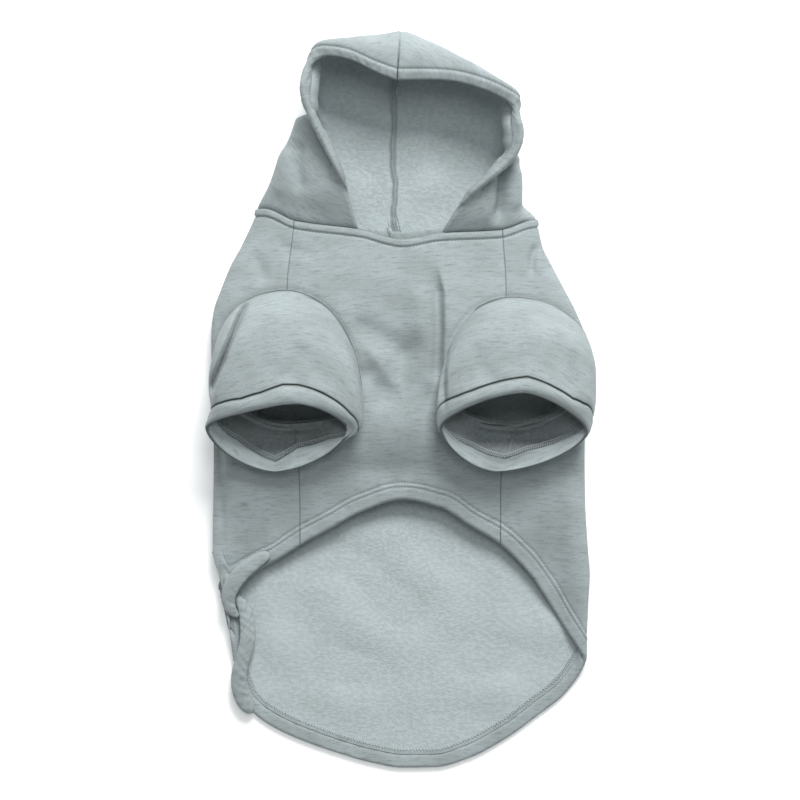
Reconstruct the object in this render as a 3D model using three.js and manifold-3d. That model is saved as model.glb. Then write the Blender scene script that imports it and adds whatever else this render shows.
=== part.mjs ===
// A dog hoodie of fleece-backed sweatshirt cloth, laid on its back with the belly side up.
// Millimetres, +Z up from the surface that it lies on, +Y towards the hood, +X to the right
// of someone who looks down at it. Each panel is a thin wall worked out from its outer face.
import * as THREE from 'three';
import Module from 'manifold-3d';

const wasm = await Module();
wasm.setup();

// Body
const BODY_LENGTH = 396;      // middle of the front neck seam to the end of the tail hem
const CHEST_WIDTH = 284;      // laid flat, fold to fold
const CHEST_HEIGHT = 34;      // of the belly side above the surface, at the chest
const SIDE_SEAM_OUT = 78;     // from the middle line to a side seam, on the belly side

// Hood
const HOOD_LENGTH = 157;      // front neck seam to the tip of the crown
const HOOD_WIDTH = 200;       // across the hood just above the neck
const HOOD_HEIGHT = 50;       // of the face opening's rim above the surface

// Sleeves
const SLEEVE_WIDTH = 112;     // laid flat, at the armhole
const SLEEVE_LENGTH = 75;     // along the upper side, armhole to cuff seam
const SLEEVE_HEIGHT = 62;     // of the upper side above the surface
const SLEEVE_OUT = 84;        // middle of the body to the middle of a sleeve
const CUFF_DEPTH = 16;        // of the folded cuff band, on the upper side

// Cloth and making
const WALL = 2.2;             // the cloth
const TURNED_WALL = 4.2;      // where the cloth is turned in and doubled
const HEM_DEPTH = 12.6;       // of the turned hems
const NECK_ALLOWANCE = 6;     // topstitched seam allowance at the neck
const SEAM_GAP = 0.3;         // left between two panels that meet at a seam
const NECK_GAP = 0.6;         // left along the hoodie at the neck, where the walls meet at a slant
const SIDE_ROLL = 17;         // reach of the soft fold where the floor side turns up
const ROLL_LIMIT = 0.8;       // the roll's largest share of the floor side
const WALL_RISE = 0.9;        // how straight a wall climbs from its outline, share of its height
const BODY_SIDE_HEIGHT = 0.45;  // of the body's outline above the surface, share of its height
const BODY_DOME = 0.62;       // how far the belly side domes in, share of half its width

const HALF_CHEST = CHEST_WIDTH / 2;
const HALF_HOOD = HOOD_WIDTH / 2;
const HALF_SLEEVE = SLEEVE_WIDTH / 2;
const NECK_Y = BODY_LENGTH - (BODY_LENGTH + HOOD_LENGTH) / 2;

// The body's outline. along: share of the body length from the neck seam; left and right:
// shares of half the chest width; height: share of the chest height.
const BODY_ROWS = [
  { along: -0.062, left: 0.768, right: 0.705, height: 0.72 },
  { along: 0.010, left: 0.842, right: 0.735, height: 0.78 },
  { along: 0.048, left: 0.900, right: 0.785, height: 0.84 },
  { along: 0.093, left: 0.951, right: 0.850, height: 0.92 },
  { along: 0.138, left: 0.993, right: 0.915, height: 0.98 },
  { along: 0.183, left: 1.005, right: 0.958, height: 1.00 },
  { along: 0.303, left: 0.998, right: 0.965, height: 1.00 },
  { along: 0.408, left: 0.992, right: 0.960, height: 0.94 },
  { along: 0.490, left: 0.995, right: 0.963, height: 0.86 },
  { along: 0.588, left: 0.998, right: 0.979, height: 0.78 },
  { along: 0.634, left: 0.968, right: 0.989, height: 0.74 },
  { along: 0.678, left: 0.937, right: 0.982, height: 0.70 },
  { along: 0.768, left: 0.905, right: 0.972, height: 0.58 },
  { along: 0.830, left: 0.908, right: 0.968, height: 0.48 },
  { along: 1.000, left: 0.912, right: 0.960, height: 0.40 },
];

// The neck seam. round: share of the way from the middle of the belly side, over the fold,
// to the middle of the back; left and right: shares of the body length from its front middle.
const NECK_ROWS = [
  { round: 0.00, left: 0.000, right: 0.000 },
  { round: 0.13, left: -0.018, right: -0.011 },
  { round: 0.34, left: -0.034, right: -0.017 },
  { round: 0.46, left: -0.058, right: -0.036 },
  { round: 0.54, left: -0.058, right: -0.040 },
  { round: 0.66, left: -0.036, right: -0.026 },
  { round: 0.82, left: -0.004, right: -0.002 },
  { round: 1.00, left: 0.014, right: 0.014 },
];

// The hem, in one loop from the arch of the belly to the end of the tail.
const HEM_ROWS = [
  { round: 0.00, left: 0.492, right: 0.492 },
  { round: 0.10, left: 0.514, right: 0.507 },
  { round: 0.18, left: 0.546, right: 0.543 },
  { round: 0.25, left: 0.574, right: 0.574 },
  { round: 0.32, left: 0.606, right: 0.625 },
  { round: 0.38, left: 0.628, right: 0.684 },
  { round: 0.43, left: 0.654, right: 0.738 },
  { round: 0.47, left: 0.690, right: 0.776 },
  { round: 0.50, left: 0.765, right: 0.802 },
  { round: 0.53, left: 0.845, right: 0.832 },
  { round: 0.57, left: 0.893, right: 0.865 },
  { round: 0.64, left: 0.926, right: 0.904 },
  { round: 0.72, left: 0.950, right: 0.945 },
  { round: 0.82, left: 0.973, right: 0.982 },
  { round: 0.91, left: 0.990, right: 0.999 },
  { round: 1.00, left: 1.000, right: 1.000 },
];

// The side seams, as shares of the seam's distance from the middle.
const SIDE_SEAM_ROWS = [
  { along: -0.060, left: 1.03, right: 0.95 },
  { along: 0.100, left: 1.10, right: 0.99 },
  { along: 0.300, left: 1.03, right: 0.98 },
  { along: 0.490, left: 0.98, right: 0.94 },
  { along: 1.000, left: 1.00, right: 0.94 },
];

// The hood, a row for each section from the neck round to the crown seam. outX and outY: its
// outline in plan; rimX and rimY: the rim of the face opening; X is a share of half the hood
// width, Y of the hood length from the neck. height: of the rim, as a share of the hood height.
// lean: how far the wall bends in below the rim (a flared rim) or, if negative, comes over it
// from outside (a curled rim), as a share of the hood width. lift: height from which the wall
// climbs to the rim or, if negative, comes down to it, as a share of the hood height.
const HOOD_ROWS = {
  left: [
    { outX: 1.063, outY: 0.153, rimX: 0.297, rimY: 0.048, height: 0.56, lean: -0.10, lift: 0.00 },
    { outX: 0.975, outY: 0.252, rimX: 0.379, rimY: 0.196, height: 0.74, lean: -0.02, lift: 0.05 },
    { outX: 0.910, outY: 0.385, rimX: 0.491, rimY: 0.318, height: 0.84, lean: 0.08, lift: 0.16 },
    { outX: 0.848, outY: 0.475, rimX: 0.602, rimY: 0.441, height: 0.90, lean: 0.15, lift: 0.26 },
    { outX: 0.803, outY: 0.565, rimX: 0.691, rimY: 0.554, height: 0.93, lean: 0.16, lift: 0.30 },
    { outX: 0.762, outY: 0.645, rimX: 0.751, rimY: 0.645, height: 0.95, lean: 0.13, lift: 0.30 },
    { outX: 0.773, outY: 0.730, rimX: 0.763, rimY: 0.727, height: 0.96, lean: 0.08, lift: 0.20 },
    { outX: 0.718, outY: 0.836, rimX: 0.712, rimY: 0.810, height: 0.97, lean: 0.01, lift: 0.06 },
    { outX: 0.550, outY: 0.920, rimX: 0.565, rimY: 0.848, height: 0.98, lean: -0.05, lift: -0.06 },
    { outX: 0.342, outY: 0.953, rimX: 0.379, rimY: 0.830, height: 0.97, lean: -0.08, lift: -0.12 },
    { outX: 0.156, outY: 0.976, rimX: 0.193, rimY: 0.773, height: 0.94, lean: -0.10, lift: -0.16 },
    { outX: 0.010, outY: 1.000, rimX: 0.040, rimY: 0.735, height: 0.92, lean: -0.10, lift: -0.18 },
  ],
  right: [
    { outX: 0.989, outY: 0.096, rimX: 0.320, rimY: 0.039, height: 0.56, lean: -0.10, lift: 0.00 },
    { outX: 0.922, outY: 0.157, rimX: 0.409, rimY: 0.120, height: 0.72, lean: -0.02, lift: 0.05 },
    { outX: 0.892, outY: 0.210, rimX: 0.557, rimY: 0.214, height: 0.82, lean: 0.07, lift: 0.14 },
    { outX: 0.882, outY: 0.290, rimX: 0.714, rimY: 0.295, height: 0.88, lean: 0.13, lift: 0.24 },
    { outX: 0.880, outY: 0.375, rimX: 0.840, rimY: 0.370, height: 0.92, lean: 0.14, lift: 0.28 },
    { outX: 0.907, outY: 0.455, rimX: 0.899, rimY: 0.451, height: 0.94, lean: 0.12, lift: 0.26 },
    { outX: 0.912, outY: 0.527, rimX: 0.902, rimY: 0.525, height: 0.95, lean: 0.08, lift: 0.18 },
    { outX: 0.868, outY: 0.610, rimX: 0.858, rimY: 0.592, height: 0.95, lean: 0.01, lift: 0.06 },
    { outX: 0.746, outY: 0.722, rimX: 0.768, rimY: 0.640, height: 0.95, lean: -0.05, lift: -0.06 },
    { outX: 0.545, outY: 0.816, rimX: 0.587, rimY: 0.695, height: 0.95, lean: -0.08, lift: -0.12 },
    { outX: 0.322, outY: 0.900, rimX: 0.327, rimY: 0.735, height: 0.93, lean: -0.10, lift: -0.16 },
    { outX: -0.010, outY: 0.992, rimX: -0.040, rimY: 0.735, height: 0.92, lean: -0.10, lift: -0.18 },
  ],
};
const HOOD_SPINE_X = -0.05;        // the centre seam on the floor side, share of half the width
const HOOD_SPINE_END = 0.62;       // where the floor side starts to turn up, share of the length
const HOOD_SIDE_HEIGHT = 0.36;     // of the outline above the surface, share of the hood height
const HOOD_FRONT_ROUND = 0.14;     // where the hood's front corners meet the neck seam
const NECK_BLEND = 0.3;            // share of the way to the crown that follows the neck seam

// The sleeves, a row for each ring from the armhole to the mouth of the cuff. The four points
// of a ring are its outer side, its top, its inner side and its underside. x: shares of half
// the sleeve width from the sleeve's middle, away from the body's middle line; y: shares of the
// sleeve length from the armhole's top, towards the tail; z: shares of the sleeve height.
// full: 1 is an oval between the four points, less is leaner and more is squarer.
const SLEEVE_ROWS = {
  left: [
    { outX: 0.96, outY: 0.56, outZ: 0.40, topX: 0.05, topY: 0.00, topZ: 0.50,
      inX: -0.97, inY: 1.09, inZ: 0.56, underX: 0.04, underY: 1.34, underZ: 0.50, full: 1.00 },
    { outX: 1.04, outY: 0.80, outZ: 0.60, topX: 0.04, topY: 0.30, topZ: 0.88,
      inX: -0.97, inY: 1.16, inZ: 0.72, underX: 0.08, underY: 1.42, underZ: 0.56, full: 1.05 },
    { outX: 1.05, outY: 1.00, outZ: 0.70, topX: 0.00, topY: 0.64, topZ: 0.99,
      inX: -0.96, inY: 1.26, inZ: 0.78, underX: 0.12, underY: 1.52, underZ: 0.57, full: 1.10 },
    { outX: 1.03, outY: 1.21, outZ: 0.75, topX: -0.04, topY: 0.94, topZ: 1.00,
      inX: -0.93, inY: 1.37, inZ: 0.79, underX: 0.16, underY: 1.63, underZ: 0.57, full: 0.95 },
    { outX: 1.11, outY: 1.38, outZ: 0.76, topX: -0.12, topY: 1.14, topZ: 0.98,
      inX: -0.81, inY: 1.39, inZ: 0.78, underX: 0.19, underY: 1.81, underZ: 0.57, full: 0.80 },
  ],
  right: [
    { outX: 0.98, outY: 0.60, outZ: 0.40, topX: -0.07, topY: 0.07, topZ: 0.50,
      inX: -0.98, inY: 0.95, inZ: 0.56, underX: -0.03, underY: 1.34, underZ: 0.50, full: 1.00 },
    { outX: 1.06, outY: 0.84, outZ: 0.60, topX: -0.02, topY: 0.32, topZ: 0.88,
      inX: -1.00, inY: 1.04, inZ: 0.72, underX: -0.08, underY: 1.42, underZ: 0.56, full: 1.05 },
    { outX: 1.05, outY: 1.05, outZ: 0.70, topX: 0.06, topY: 0.60, topZ: 0.99,
      inX: -1.02, inY: 1.14, inZ: 0.78, underX: -0.14, underY: 1.52, underZ: 0.57, full: 1.10 },
    { outX: 1.02, outY: 1.25, outZ: 0.74, topX: 0.15, topY: 0.86, topZ: 1.00,
      inX: -1.04, inY: 1.21, inZ: 0.79, underX: -0.18, underY: 1.64, underZ: 0.57, full: 0.95 },
    { outX: 0.96, outY: 1.42, outZ: 0.75, topX: 0.08, topY: 1.03, topZ: 0.98,
      inX: -1.02, inY: 1.38, inZ: 0.78, underX: -0.27, underY: 1.81, underZ: 0.57, full: 0.80 },
  ],
};
const ARMHOLE_TOP_Y = 0.096;       // top of the armholes, share of the body length
const CUFF_SEAM = 0.75;            // the cuff seam, as a share of the rings' rows
const ARMHOLE_SINK = 5;            // how far a sleeve is made below the body, before it is trimmed
const SLEEVE_SEAT_GAP = 0.5;       // between a sleeve and the body that it rests on
const CUFF_GAP = 0.6;              // between a sleeve and its cuff along the sleeve
const ARMHOLE_CUT_FROM = 0.4;      // the holes are cut from here up, share of the chest height

// How finely the walls are cut into facets
const BELLY_CELLS = 16;
const BACK_SPANS = [
  { from: 0.00, to: 0.24, cells: 3 },
  { from: 0.24, to: 0.42, cells: 6 },
  { from: 0.42, to: 0.66, cells: 4 },
  { from: 0.66, to: 1.00, cells: 3 },
];
const BODY_CELLS = 13;
const HOOD_CELLS_ROUND = 20;
const HOOD_CELLS_UP = 13;
const RING_CELLS = 24;
const SLEEVE_CELLS = 7;
const CUFF_CELLS = 3;
const PROFILE_STEPS = 24;
const PANEL_ROUNDS = 8;       // rounds in which a column's ends settle on the neck seam and hem
const HEM_STEP = 0.01;        // share of the way round over which the hem's slope is taken
const LARGEST_HEM = 0.25;     // share of a column that its hem takes at most
const RING_STEP = 0.02;       // share of a sleeve over which its direction is taken
const ON_FLOOR = 1e-6;
const SMALLEST_EDGE = 0.01;   // shorter edges that a cut leaves are taken out

const lerp = (a, b, t) => a + (b - a) * t;
const clamp01 = (t) => Math.min(1, Math.max(0, t));
const smooth = (t) => clamp01(t) ** 2 * (3 - 2 * clamp01(t));

// A column of a table at a place between its rows, without overshoot.
function column(rows, key, name, at) {
  const last = rows.length - 1;
  let i = 0;
  while (i < last - 1 && rows[i + 1][key] < at) i += 1;
  const slope = (k) => (rows[k + 1][name] - rows[k][name]) / (rows[k + 1][key] - rows[k][key]);
  const tangent = (k) => {
    if (k === 0 || k === last) return 0;
    const [before, after] = [slope(k - 1), slope(k)];
    return before * after <= 0 ? 0 : (2 * before * after) / (before + after);
  };
  const [a, b] = [rows[i], rows[i + 1]];
  const width = b[key] - a[key];
  const t = clamp01((at - a[key]) / width);
  return a[name] * (1 + 2 * t) * (1 - t) ** 2 + b[name] * t * t * (3 - 2 * t)
    + width * (tangent(i) * t * (1 - t) ** 2 - tangent(i + 1) * t * t * (1 - t));
}

// A column of a table whose rows are evenly spaced from 0 to 1, as a smooth curve.
function evenColumn(rows, name, at) {
  const last = rows.length - 1;
  const place = clamp01(at) * last;
  const i = Math.min(last - 1, Math.floor(place));
  const value = (k) => rows[Math.min(last, Math.max(0, k))][name];
  const [p0, p1, p2, p3] = [value(i - 1), value(i), value(i + 1), value(i + 2)];
  const t = place - i;
  return 0.5 * (2 * p1 + (p2 - p0) * t + (2 * p0 - 5 * p1 + 4 * p2 - p3) * t * t
    + (3 * p1 - p0 - 3 * p2 + p3) * t ** 3);
}

// The outer face of a wall in one section: flat on the surface from the spine, up in a soft
// roll at the outline, and on in a curve to the rim.
function wallProfile({ spine, outline, rim, sideHeight, rise, lean, lift }) {
  const outward = outline.clone().sub(spine).setZ(0);
  const reach = outward.length();
  outward.normalize();
  const roll = Math.min(SIDE_ROLL, reach * ROLL_LIMIT);
  const points = [];
  for (let i = 0; i < PROFILE_STEPS / 2; i += 1) {
    points.push(spine.clone().addScaledVector(outward, (reach - roll) * i / (PROFILE_STEPS / 2)));
  }
  for (let i = 0; i < PROFILE_STEPS; i += 1) {
    const angle = (Math.PI / 2) * i / PROFILE_STEPS;
    const point = spine.clone().addScaledVector(outward, reach - roll + roll * Math.sin(angle));
    points.push(point.setZ(sideHeight * (1 - Math.cos(angle))));
  }
  const start = outline.clone().setZ(sideHeight);
  const second = start.clone().setZ(sideHeight + rise);
  const third = rim.clone().addScaledVector(outward, -lean).setZ(rim.z - lift);
  const curve = new THREE.CubicBezierCurve3(start, second, third, rim);
  points.push(...curve.getPoints(2 * PROFILE_STEPS));
  return points;
}

// Lengths along a row of points, for walking it at an even pace.
function measured(points) {
  const lengths = [0];
  for (let i = 1; i < points.length; i += 1) {
    lengths.push(lengths[i - 1] + points[i].distanceTo(points[i - 1]));
  }
  return { points, lengths, total: lengths.at(-1) };
}

function pointAt({ points, lengths, total }, share) {
  const target = clamp01(share) * total;
  let i = 1;
  while (i < lengths.length - 1 && lengths[i] < target) i += 1;
  const t = (target - lengths[i - 1]) / (lengths[i] - lengths[i - 1]);
  return points[i - 1].clone().lerp(points[i], t);
}

// Body

const SIDES = { left: -1, right: 1 };
const alongOf = (y) => (NECK_Y - y) / BODY_LENGTH;
const yOf = (along) => NECK_Y - along * BODY_LENGTH;

function bodySection(side, y) {
  const along = alongOf(y);
  const halfWidth = HALF_CHEST * column(BODY_ROWS, 'along', side, along);
  const height = CHEST_HEIGHT * column(BODY_ROWS, 'along', 'height', along);
  const sideHeight = height * BODY_SIDE_HEIGHT;
  const profile = wallProfile({
    spine: new THREE.Vector3(0, y, 0),
    outline: new THREE.Vector3(SIDES[side] * halfWidth, y, 0),
    rim: new THREE.Vector3(0, y, height),
    sideHeight,
    rise: (height - sideHeight) * WALL_RISE,
    lean: -halfWidth * BODY_DOME,
    lift: 0,
  });
  return measured(profile.reverse());
}

// round runs from 0, the middle of the belly side, to 1, the middle of the back.
function bodyPoint(side, round, y) {
  return pointAt(bodySection(side, y), round);
}

// Height of the body's belly side over a place in plan.
function bodyTop(x, y) {
  const section = bodySection(x < 0 ? 'left' : 'right', y);
  let i = 1;
  while (i < section.points.length / 2 && Math.abs(section.points[i].x) < Math.abs(x)) i += 1;
  const [a, b] = [section.points[i - 1], section.points[i]];
  return lerp(a.z, b.z, clamp01((Math.abs(x) - Math.abs(a.x)) / (Math.abs(b.x) - Math.abs(a.x))));
}

function sideSeamRound(side, y) {
  const out = SIDE_SEAM_OUT * column(SIDE_SEAM_ROWS, 'along', side, alongOf(y));
  const section = bodySection(side, y);
  const i = section.points.findIndex((point) => Math.abs(point.x) >= out);
  const [a, b] = [section.points[i - 1], section.points[i]].map((point) => Math.abs(point.x));
  return lerp(section.lengths[i - 1], section.lengths[i], (out - a) / (b - a)) / section.total;
}

const SIDE_GAP_SHARE = SEAM_GAP / (2 * CHEST_WIDTH);
const neckY = (side, round) => yOf(column(NECK_ROWS, 'round', side, round));
const hemY = (side, round) => yOf(column(HEM_ROWS, 'round', side, round));

// Place round the body of a panel's column. The belly panel runs from 0 at the middle to 1 at
// the side seam, the back panel from 0 at the side seam to 1 at the middle of the back.
function panelRound(panel, side, share, y) {
  const seam = sideSeamRound(side, y);
  if (panel === 'belly') return share * (seam - SIDE_GAP_SHARE);
  return lerp(seam + SIDE_GAP_SHARE, 1, share);
}

// One column of a panel, from the neck seam to the hem, as points on its outer face.
function panelColumn(panel, side, share) {
  let [top, bottom] = [NECK_Y, NECK_Y - BODY_LENGTH / 2];
  for (let i = 0; i < PANEL_ROUNDS; i += 1) {
    top = neckY(side, panelRound(panel, side, share, top));
    bottom = hemY(side, panelRound(panel, side, share, bottom));
  }
  const round = panelRound(panel, side, share, bottom);
  const drop = hemY(side, round + HEM_STEP) - hemY(side, round - HEM_STEP);
  const run = bodySection(side, bottom).total * 2 * HEM_STEP;
  const hem = Math.min(HEM_DEPTH * Math.hypot(1, drop / run), (top - bottom) * LARGEST_HEM);
  const places = [{ y: top, wall: TURNED_WALL }, { y: top - NECK_ALLOWANCE, wall: TURNED_WALL }];
  const [first, last] = [top - NECK_ALLOWANCE - WALL, bottom + hem + WALL];
  for (let i = 0; i <= BODY_CELLS; i += 1) {
    places.push({ y: lerp(first, last, i / BODY_CELLS), wall: WALL });
  }
  places.push({ y: bottom + hem, wall: TURNED_WALL }, { y: bottom, wall: TURNED_WALL });
  return places.map(({ y, wall }) => ({
    point: bodyPoint(side, panelRound(panel, side, share, y), y),
    wall,
  }));
}

function panelGrid(panel) {
  if (panel === 'belly') {
    const grid = [];
    for (let i = 0; i <= BELLY_CELLS; i += 1) {
      const place = 2 * i / BELLY_CELLS - 1;
      grid.push(panelColumn(panel, place < 0 ? 'left' : 'right', Math.abs(place)));
    }
    return grid;
  }
  const shares = BACK_SPANS.flatMap(({ from, to, cells }) => (
    Array.from({ length: cells }, (_, i) => lerp(from, to, i / cells))
  ));
  const right = shares.map((share) => panelColumn(panel, 'right', share));
  const left = [...shares, 1].map((share) => panelColumn(panel, 'left', share));
  return [...right, ...left.reverse()];
}

// Outward normals of a grid of points, by the differences of neighbours. On the floor side they
// point straight down, and where a border meets another panel they are square to that gap.
function gridNormals(grid, { flipped = false, firstRow, lastColumn }) {
  const [columns, rows] = [grid.length, grid[0].length];
  const at = (i, j) => (
    grid[Math.min(columns - 1, Math.max(0, i))][Math.min(rows - 1, Math.max(0, j))]
  );
  return grid.map((points, i) => points.map((point, j) => {
    if (point.z < ON_FLOOR) return new THREE.Vector3(0, 0, -1);
    const across = at(i + 1, j).clone().sub(at(i - 1, j));
    const along = at(i, j + 1).clone().sub(at(i, j - 1));
    const normal = along.cross(across).multiplyScalar(flipped ? -1 : 1);
    if (j === 0 && firstRow) normal[firstRow] = 0;
    if (i === columns - 1 && lastColumn) normal[lastColumn] = 0;
    return normal.normalize();
  }));
}

// Gives two borders that meet at a seam the same normals.
function shareNormals(one, other) {
  one.forEach((normal, j) => {
    normal.add(other[j]).normalize();
    other[j].copy(normal);
  });
}

// A closed mesh from lists of corner points and triangles.
function meshFrom(points, triangles) {
  const geometry = new THREE.BufferGeometry();
  geometry.setAttribute('position', new THREE.Float32BufferAttribute(points.flatMap((p) => p.toArray()), 3));
  geometry.setIndex(triangles.flat());
  return geometry;
}

function volumeOf(points, triangles) {
  return triangles.reduce((sum, [a, b, c]) => (
    sum + points[a].dot(points[b].clone().cross(points[c])) / 6
  ), 0);
}

// The wall between an outer and an inner grid of points, closed along its borders.
function wallBetween(outer, inner, looped = false) {
  const [columns, rows] = [outer.length, outer[0].length];
  const points = [...outer.flat(), ...inner.flat()];
  const half = columns * rows;
  const index = (i, j, side) => side * half + (i % columns) * rows + j;
  const triangles = [];
  const quad = (a, b, c, d) => triangles.push([a, b, c], [a, c, d]);
  const cells = looped ? columns : columns - 1;
  for (let i = 0; i < cells; i += 1) {
    for (let j = 0; j < rows - 1; j += 1) {
      quad(index(i, j, 0), index(i, j + 1, 0), index(i + 1, j + 1, 0), index(i + 1, j, 0));
      quad(index(i, j, 1), index(i + 1, j, 1), index(i + 1, j + 1, 1), index(i, j + 1, 1));
    }
    quad(index(i, 0, 0), index(i + 1, 0, 0), index(i + 1, 0, 1), index(i, 0, 1));
    quad(index(i, rows - 1, 0), index(i, rows - 1, 1), index(i + 1, rows - 1, 1), index(i + 1, rows - 1, 0));
  }
  if (!looped) {
    for (let j = 0; j < rows - 1; j += 1) {
      quad(index(0, j, 0), index(0, j, 1), index(0, j + 1, 1), index(0, j + 1, 0));
      quad(index(columns - 1, j, 0), index(columns - 1, j + 1, 0),
        index(columns - 1, j + 1, 1), index(columns - 1, j, 1));
    }
  }
  if (volumeOf(points, triangles) < 0) triangles.forEach((triangle) => triangle.reverse());
  return meshFrom(points, triangles);
}

// Inner face of a wall: each outer point moved in along its normal by the wall there.
function inset(grid, normals, wallAt) {
  return grid.map((points, i) => points.map((point, j) => (
    point.clone().addScaledVector(normals[i][j], -wallAt(i, j))
  )));
}

function panelGeometry(columns, normals) {
  const outer = columns.map((places) => places.map(({ point }) => point));
  const inner = inset(outer, normals, (i, j) => columns[i][j].wall);
  return wallBetween(outer, inner);
}

// Joining and cutting

function toSolid(geometry) {
  return new wasm.Manifold(new wasm.Mesh({
    numProp: 3,
    vertProperties: Float32Array.from(geometry.attributes.position.array),
    triVerts: Uint32Array.from(geometry.index.array),
  }));
}

function toGeometry(solid) {
  const mesh = solid.setTolerance(SMALLEST_EDGE).getMesh();
  const geometry = new THREE.BufferGeometry();
  geometry.setAttribute('position', new THREE.BufferAttribute(mesh.vertProperties, 3));
  geometry.setIndex(new THREE.BufferAttribute(mesh.triVerts, 1));
  return geometry;
}

// A solid between rings of points, closed at both ends by a fan.
function filledRings(rings) {
  const count = rings[0].length;
  const points = rings.flat();
  const triangles = [];
  for (let r = 0; r < rings.length - 1; r += 1) {
    for (let i = 0; i < count; i += 1) {
      const next = (i + 1) % count;
      const [a, b] = [r * count + i, r * count + next];
      triangles.push([a, b, b + count], [a, b + count, a + count]);
    }
  }
  [0, rings.length - 1].forEach((r) => {
    const middle = rings[r].reduce((sum, p) => sum.add(p), new THREE.Vector3()).divideScalar(count);
    points.push(middle);
    for (let i = 0; i < count; i += 1) {
      const corners = [r * count + i, r * count + (i + 1) % count, points.length - 1];
      triangles.push(r === 0 ? corners.reverse() : corners);
    }
  });
  if (volumeOf(points, triangles) < 0) triangles.forEach((triangle) => triangle.reverse());
  return meshFrom(points, triangles);
}

// Sleeves

function ringCorner(side, name, share) {
  const value = (axis) => evenColumn(SLEEVE_ROWS[side], `${name}${axis}`, share);
  return new THREE.Vector3(
    SIDES[side] * (SLEEVE_OUT + HALF_SLEEVE * value('X')),
    yOf(ARMHOLE_TOP_Y) - SLEEVE_LENGTH * value('Y'),
    SLEEVE_HEIGHT * value('Z'),
  );
}

// The outer, upper, inner and lower corner of a ring, moved in by a wall: the outer and inner
// ones sideways, the others square to the line that they draw along the sleeve.
function ringCorners(side, share, wall) {
  const corners = ['out', 'top', 'in', 'under'].map((name) => ringCorner(side, name, share));
  const middle = corners.reduce((sum, p) => sum.add(p), new THREE.Vector3()).divideScalar(4);
  return corners.map((corner, k) => {
    if (k % 2 === 0) return corner.setX(corner.x + wall * Math.sign(middle.x - corner.x));
    const name = k === 1 ? 'top' : 'under';
    const ends = [share - RING_STEP, share + RING_STEP];
    const [before, after] = ends.map((at) => ringCorner(side, name, clamp01(at)));
    const line = after.sub(before);
    const square = new THREE.Vector3(0, -line.z, line.y).normalize();
    return corner.addScaledVector(square, wall * Math.sign(square.dot(middle.clone().sub(corner))));
  });
}

// One face of a ring at a share of the way from the armhole to the mouth, wall deep.
function sleeveRing(side, share, wall) {
  const corners = ringCorners(side, share, wall);
  const power = 1 / evenColumn(SLEEVE_ROWS[side], 'full', share);
  return Array.from({ length: RING_CELLS }, (_, i) => {
    const place = 4 * i / RING_CELLS;
    const quarter = Math.floor(place);
    const angle = (place - quarter) * Math.PI / 2;
    const [from, to] = [corners[quarter], corners[(quarter + 1) % 4]];
    const grow = Math.sin(angle) ** power;
    const fade = 1 - Math.cos(angle) ** power;
    const [sideways, upward] = quarter % 2 === 0 ? [fade, grow] : [grow, fade];
    return new THREE.Vector3(
      lerp(from.x, to.x, sideways),
      lerp(from.y, to.y, upward),
      lerp(from.z, to.z, upward),
    );
  });
}

// The ring laid on the body: at the armhole it starts a little below the body's face, and
// further on no part of it is lower than the body that it rests on.
function seatedRing(side, share, wall) {
  const ring = sleeveRing(side, share, wall);
  if (share === 0) return ring.map((point) => point.setZ(bodyTop(point.x, point.y) - ARMHOLE_SINK));
  return sleeveRing(side, share, 0).map((outer, i) => {
    const lift = bodyTop(outer.x, outer.y) + SLEEVE_SEAT_GAP - outer.z;
    return ring[i].setZ(ring[i].z + Math.max(0, lift));
  });
}

// The wall of a sleeve or cuff between two shares of its length. endWall is the wall at its last
// ring, where the seam allowance lies.
function tubeGeometry({ side, from, to, cells, wall, endWall }) {
  const face = (walls) => {
    const rings = walls.map((depth, j) => seatedRing(side, lerp(from, to, j / cells), depth));
    return rings[0].map((_, i) => rings.map((ring) => ring[i]));
  };
  const outer = Array(cells + 1).fill(0);
  const inner = [...Array(cells).fill(wall), endWall];
  return wallBetween(face(outer), face(inner), true);
}

function sleeveGeometry(side) {
  return tubeGeometry({
    side, from: 0, to: CUFF_SEAM, cells: SLEEVE_CELLS, wall: WALL, endWall: TURNED_WALL,
  });
}

function cuffGeometry(side) {
  const beyond = CUFF_SEAM + (1 - CUFF_SEAM) * CUFF_GAP / CUFF_DEPTH;
  return tubeGeometry({
    side, from: beyond, to: 1, cells: CUFF_CELLS, wall: TURNED_WALL, endWall: TURNED_WALL,
  });
}

// The hole that a sleeve is set into, through the belly side of the body alone.
function armholeCutter(side) {
  const ring = sleeveRing(side, 0, WALL);
  const level = (z) => ring.map((point) => point.clone().setZ(z));
  return filledRings([level(CHEST_HEIGHT * ARMHOLE_CUT_FROM), level(2 * SLEEVE_HEIGHT)]);
}

// Hood

function hoodProfile(side, share) {
  const value = (name) => evenColumn(HOOD_ROWS[side], name, share);
  const sign = SIDES[side];
  const spineX = HALF_HOOD * HOOD_SPINE_X + sign * SEAM_GAP / 2;
  const spineY = lerp(neckY(side, 1), NECK_Y + HOOD_LENGTH * HOOD_SPINE_END, share);
  const sideHeight = HOOD_HEIGHT * HOOD_SIDE_HEIGHT;
  const rimHeight = HOOD_HEIGHT * value('height');
  return measured(wallProfile({
    spine: new THREE.Vector3(spineX, spineY, 0),
    outline: new THREE.Vector3(sign * HALF_HOOD * value('outX'), NECK_Y + HOOD_LENGTH * value('outY'), 0),
    rim: new THREE.Vector3(
      sign * HALF_HOOD * value('rimX'),
      NECK_Y + HOOD_LENGTH * value('rimY'),
      rimHeight,
    ),
    sideHeight,
    rise: (rimHeight - sideHeight) * WALL_RISE,
    lean: HOOD_WIDTH * value('lean'),
    lift: HOOD_HEIGHT * value('lift'),
  }));
}

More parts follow.
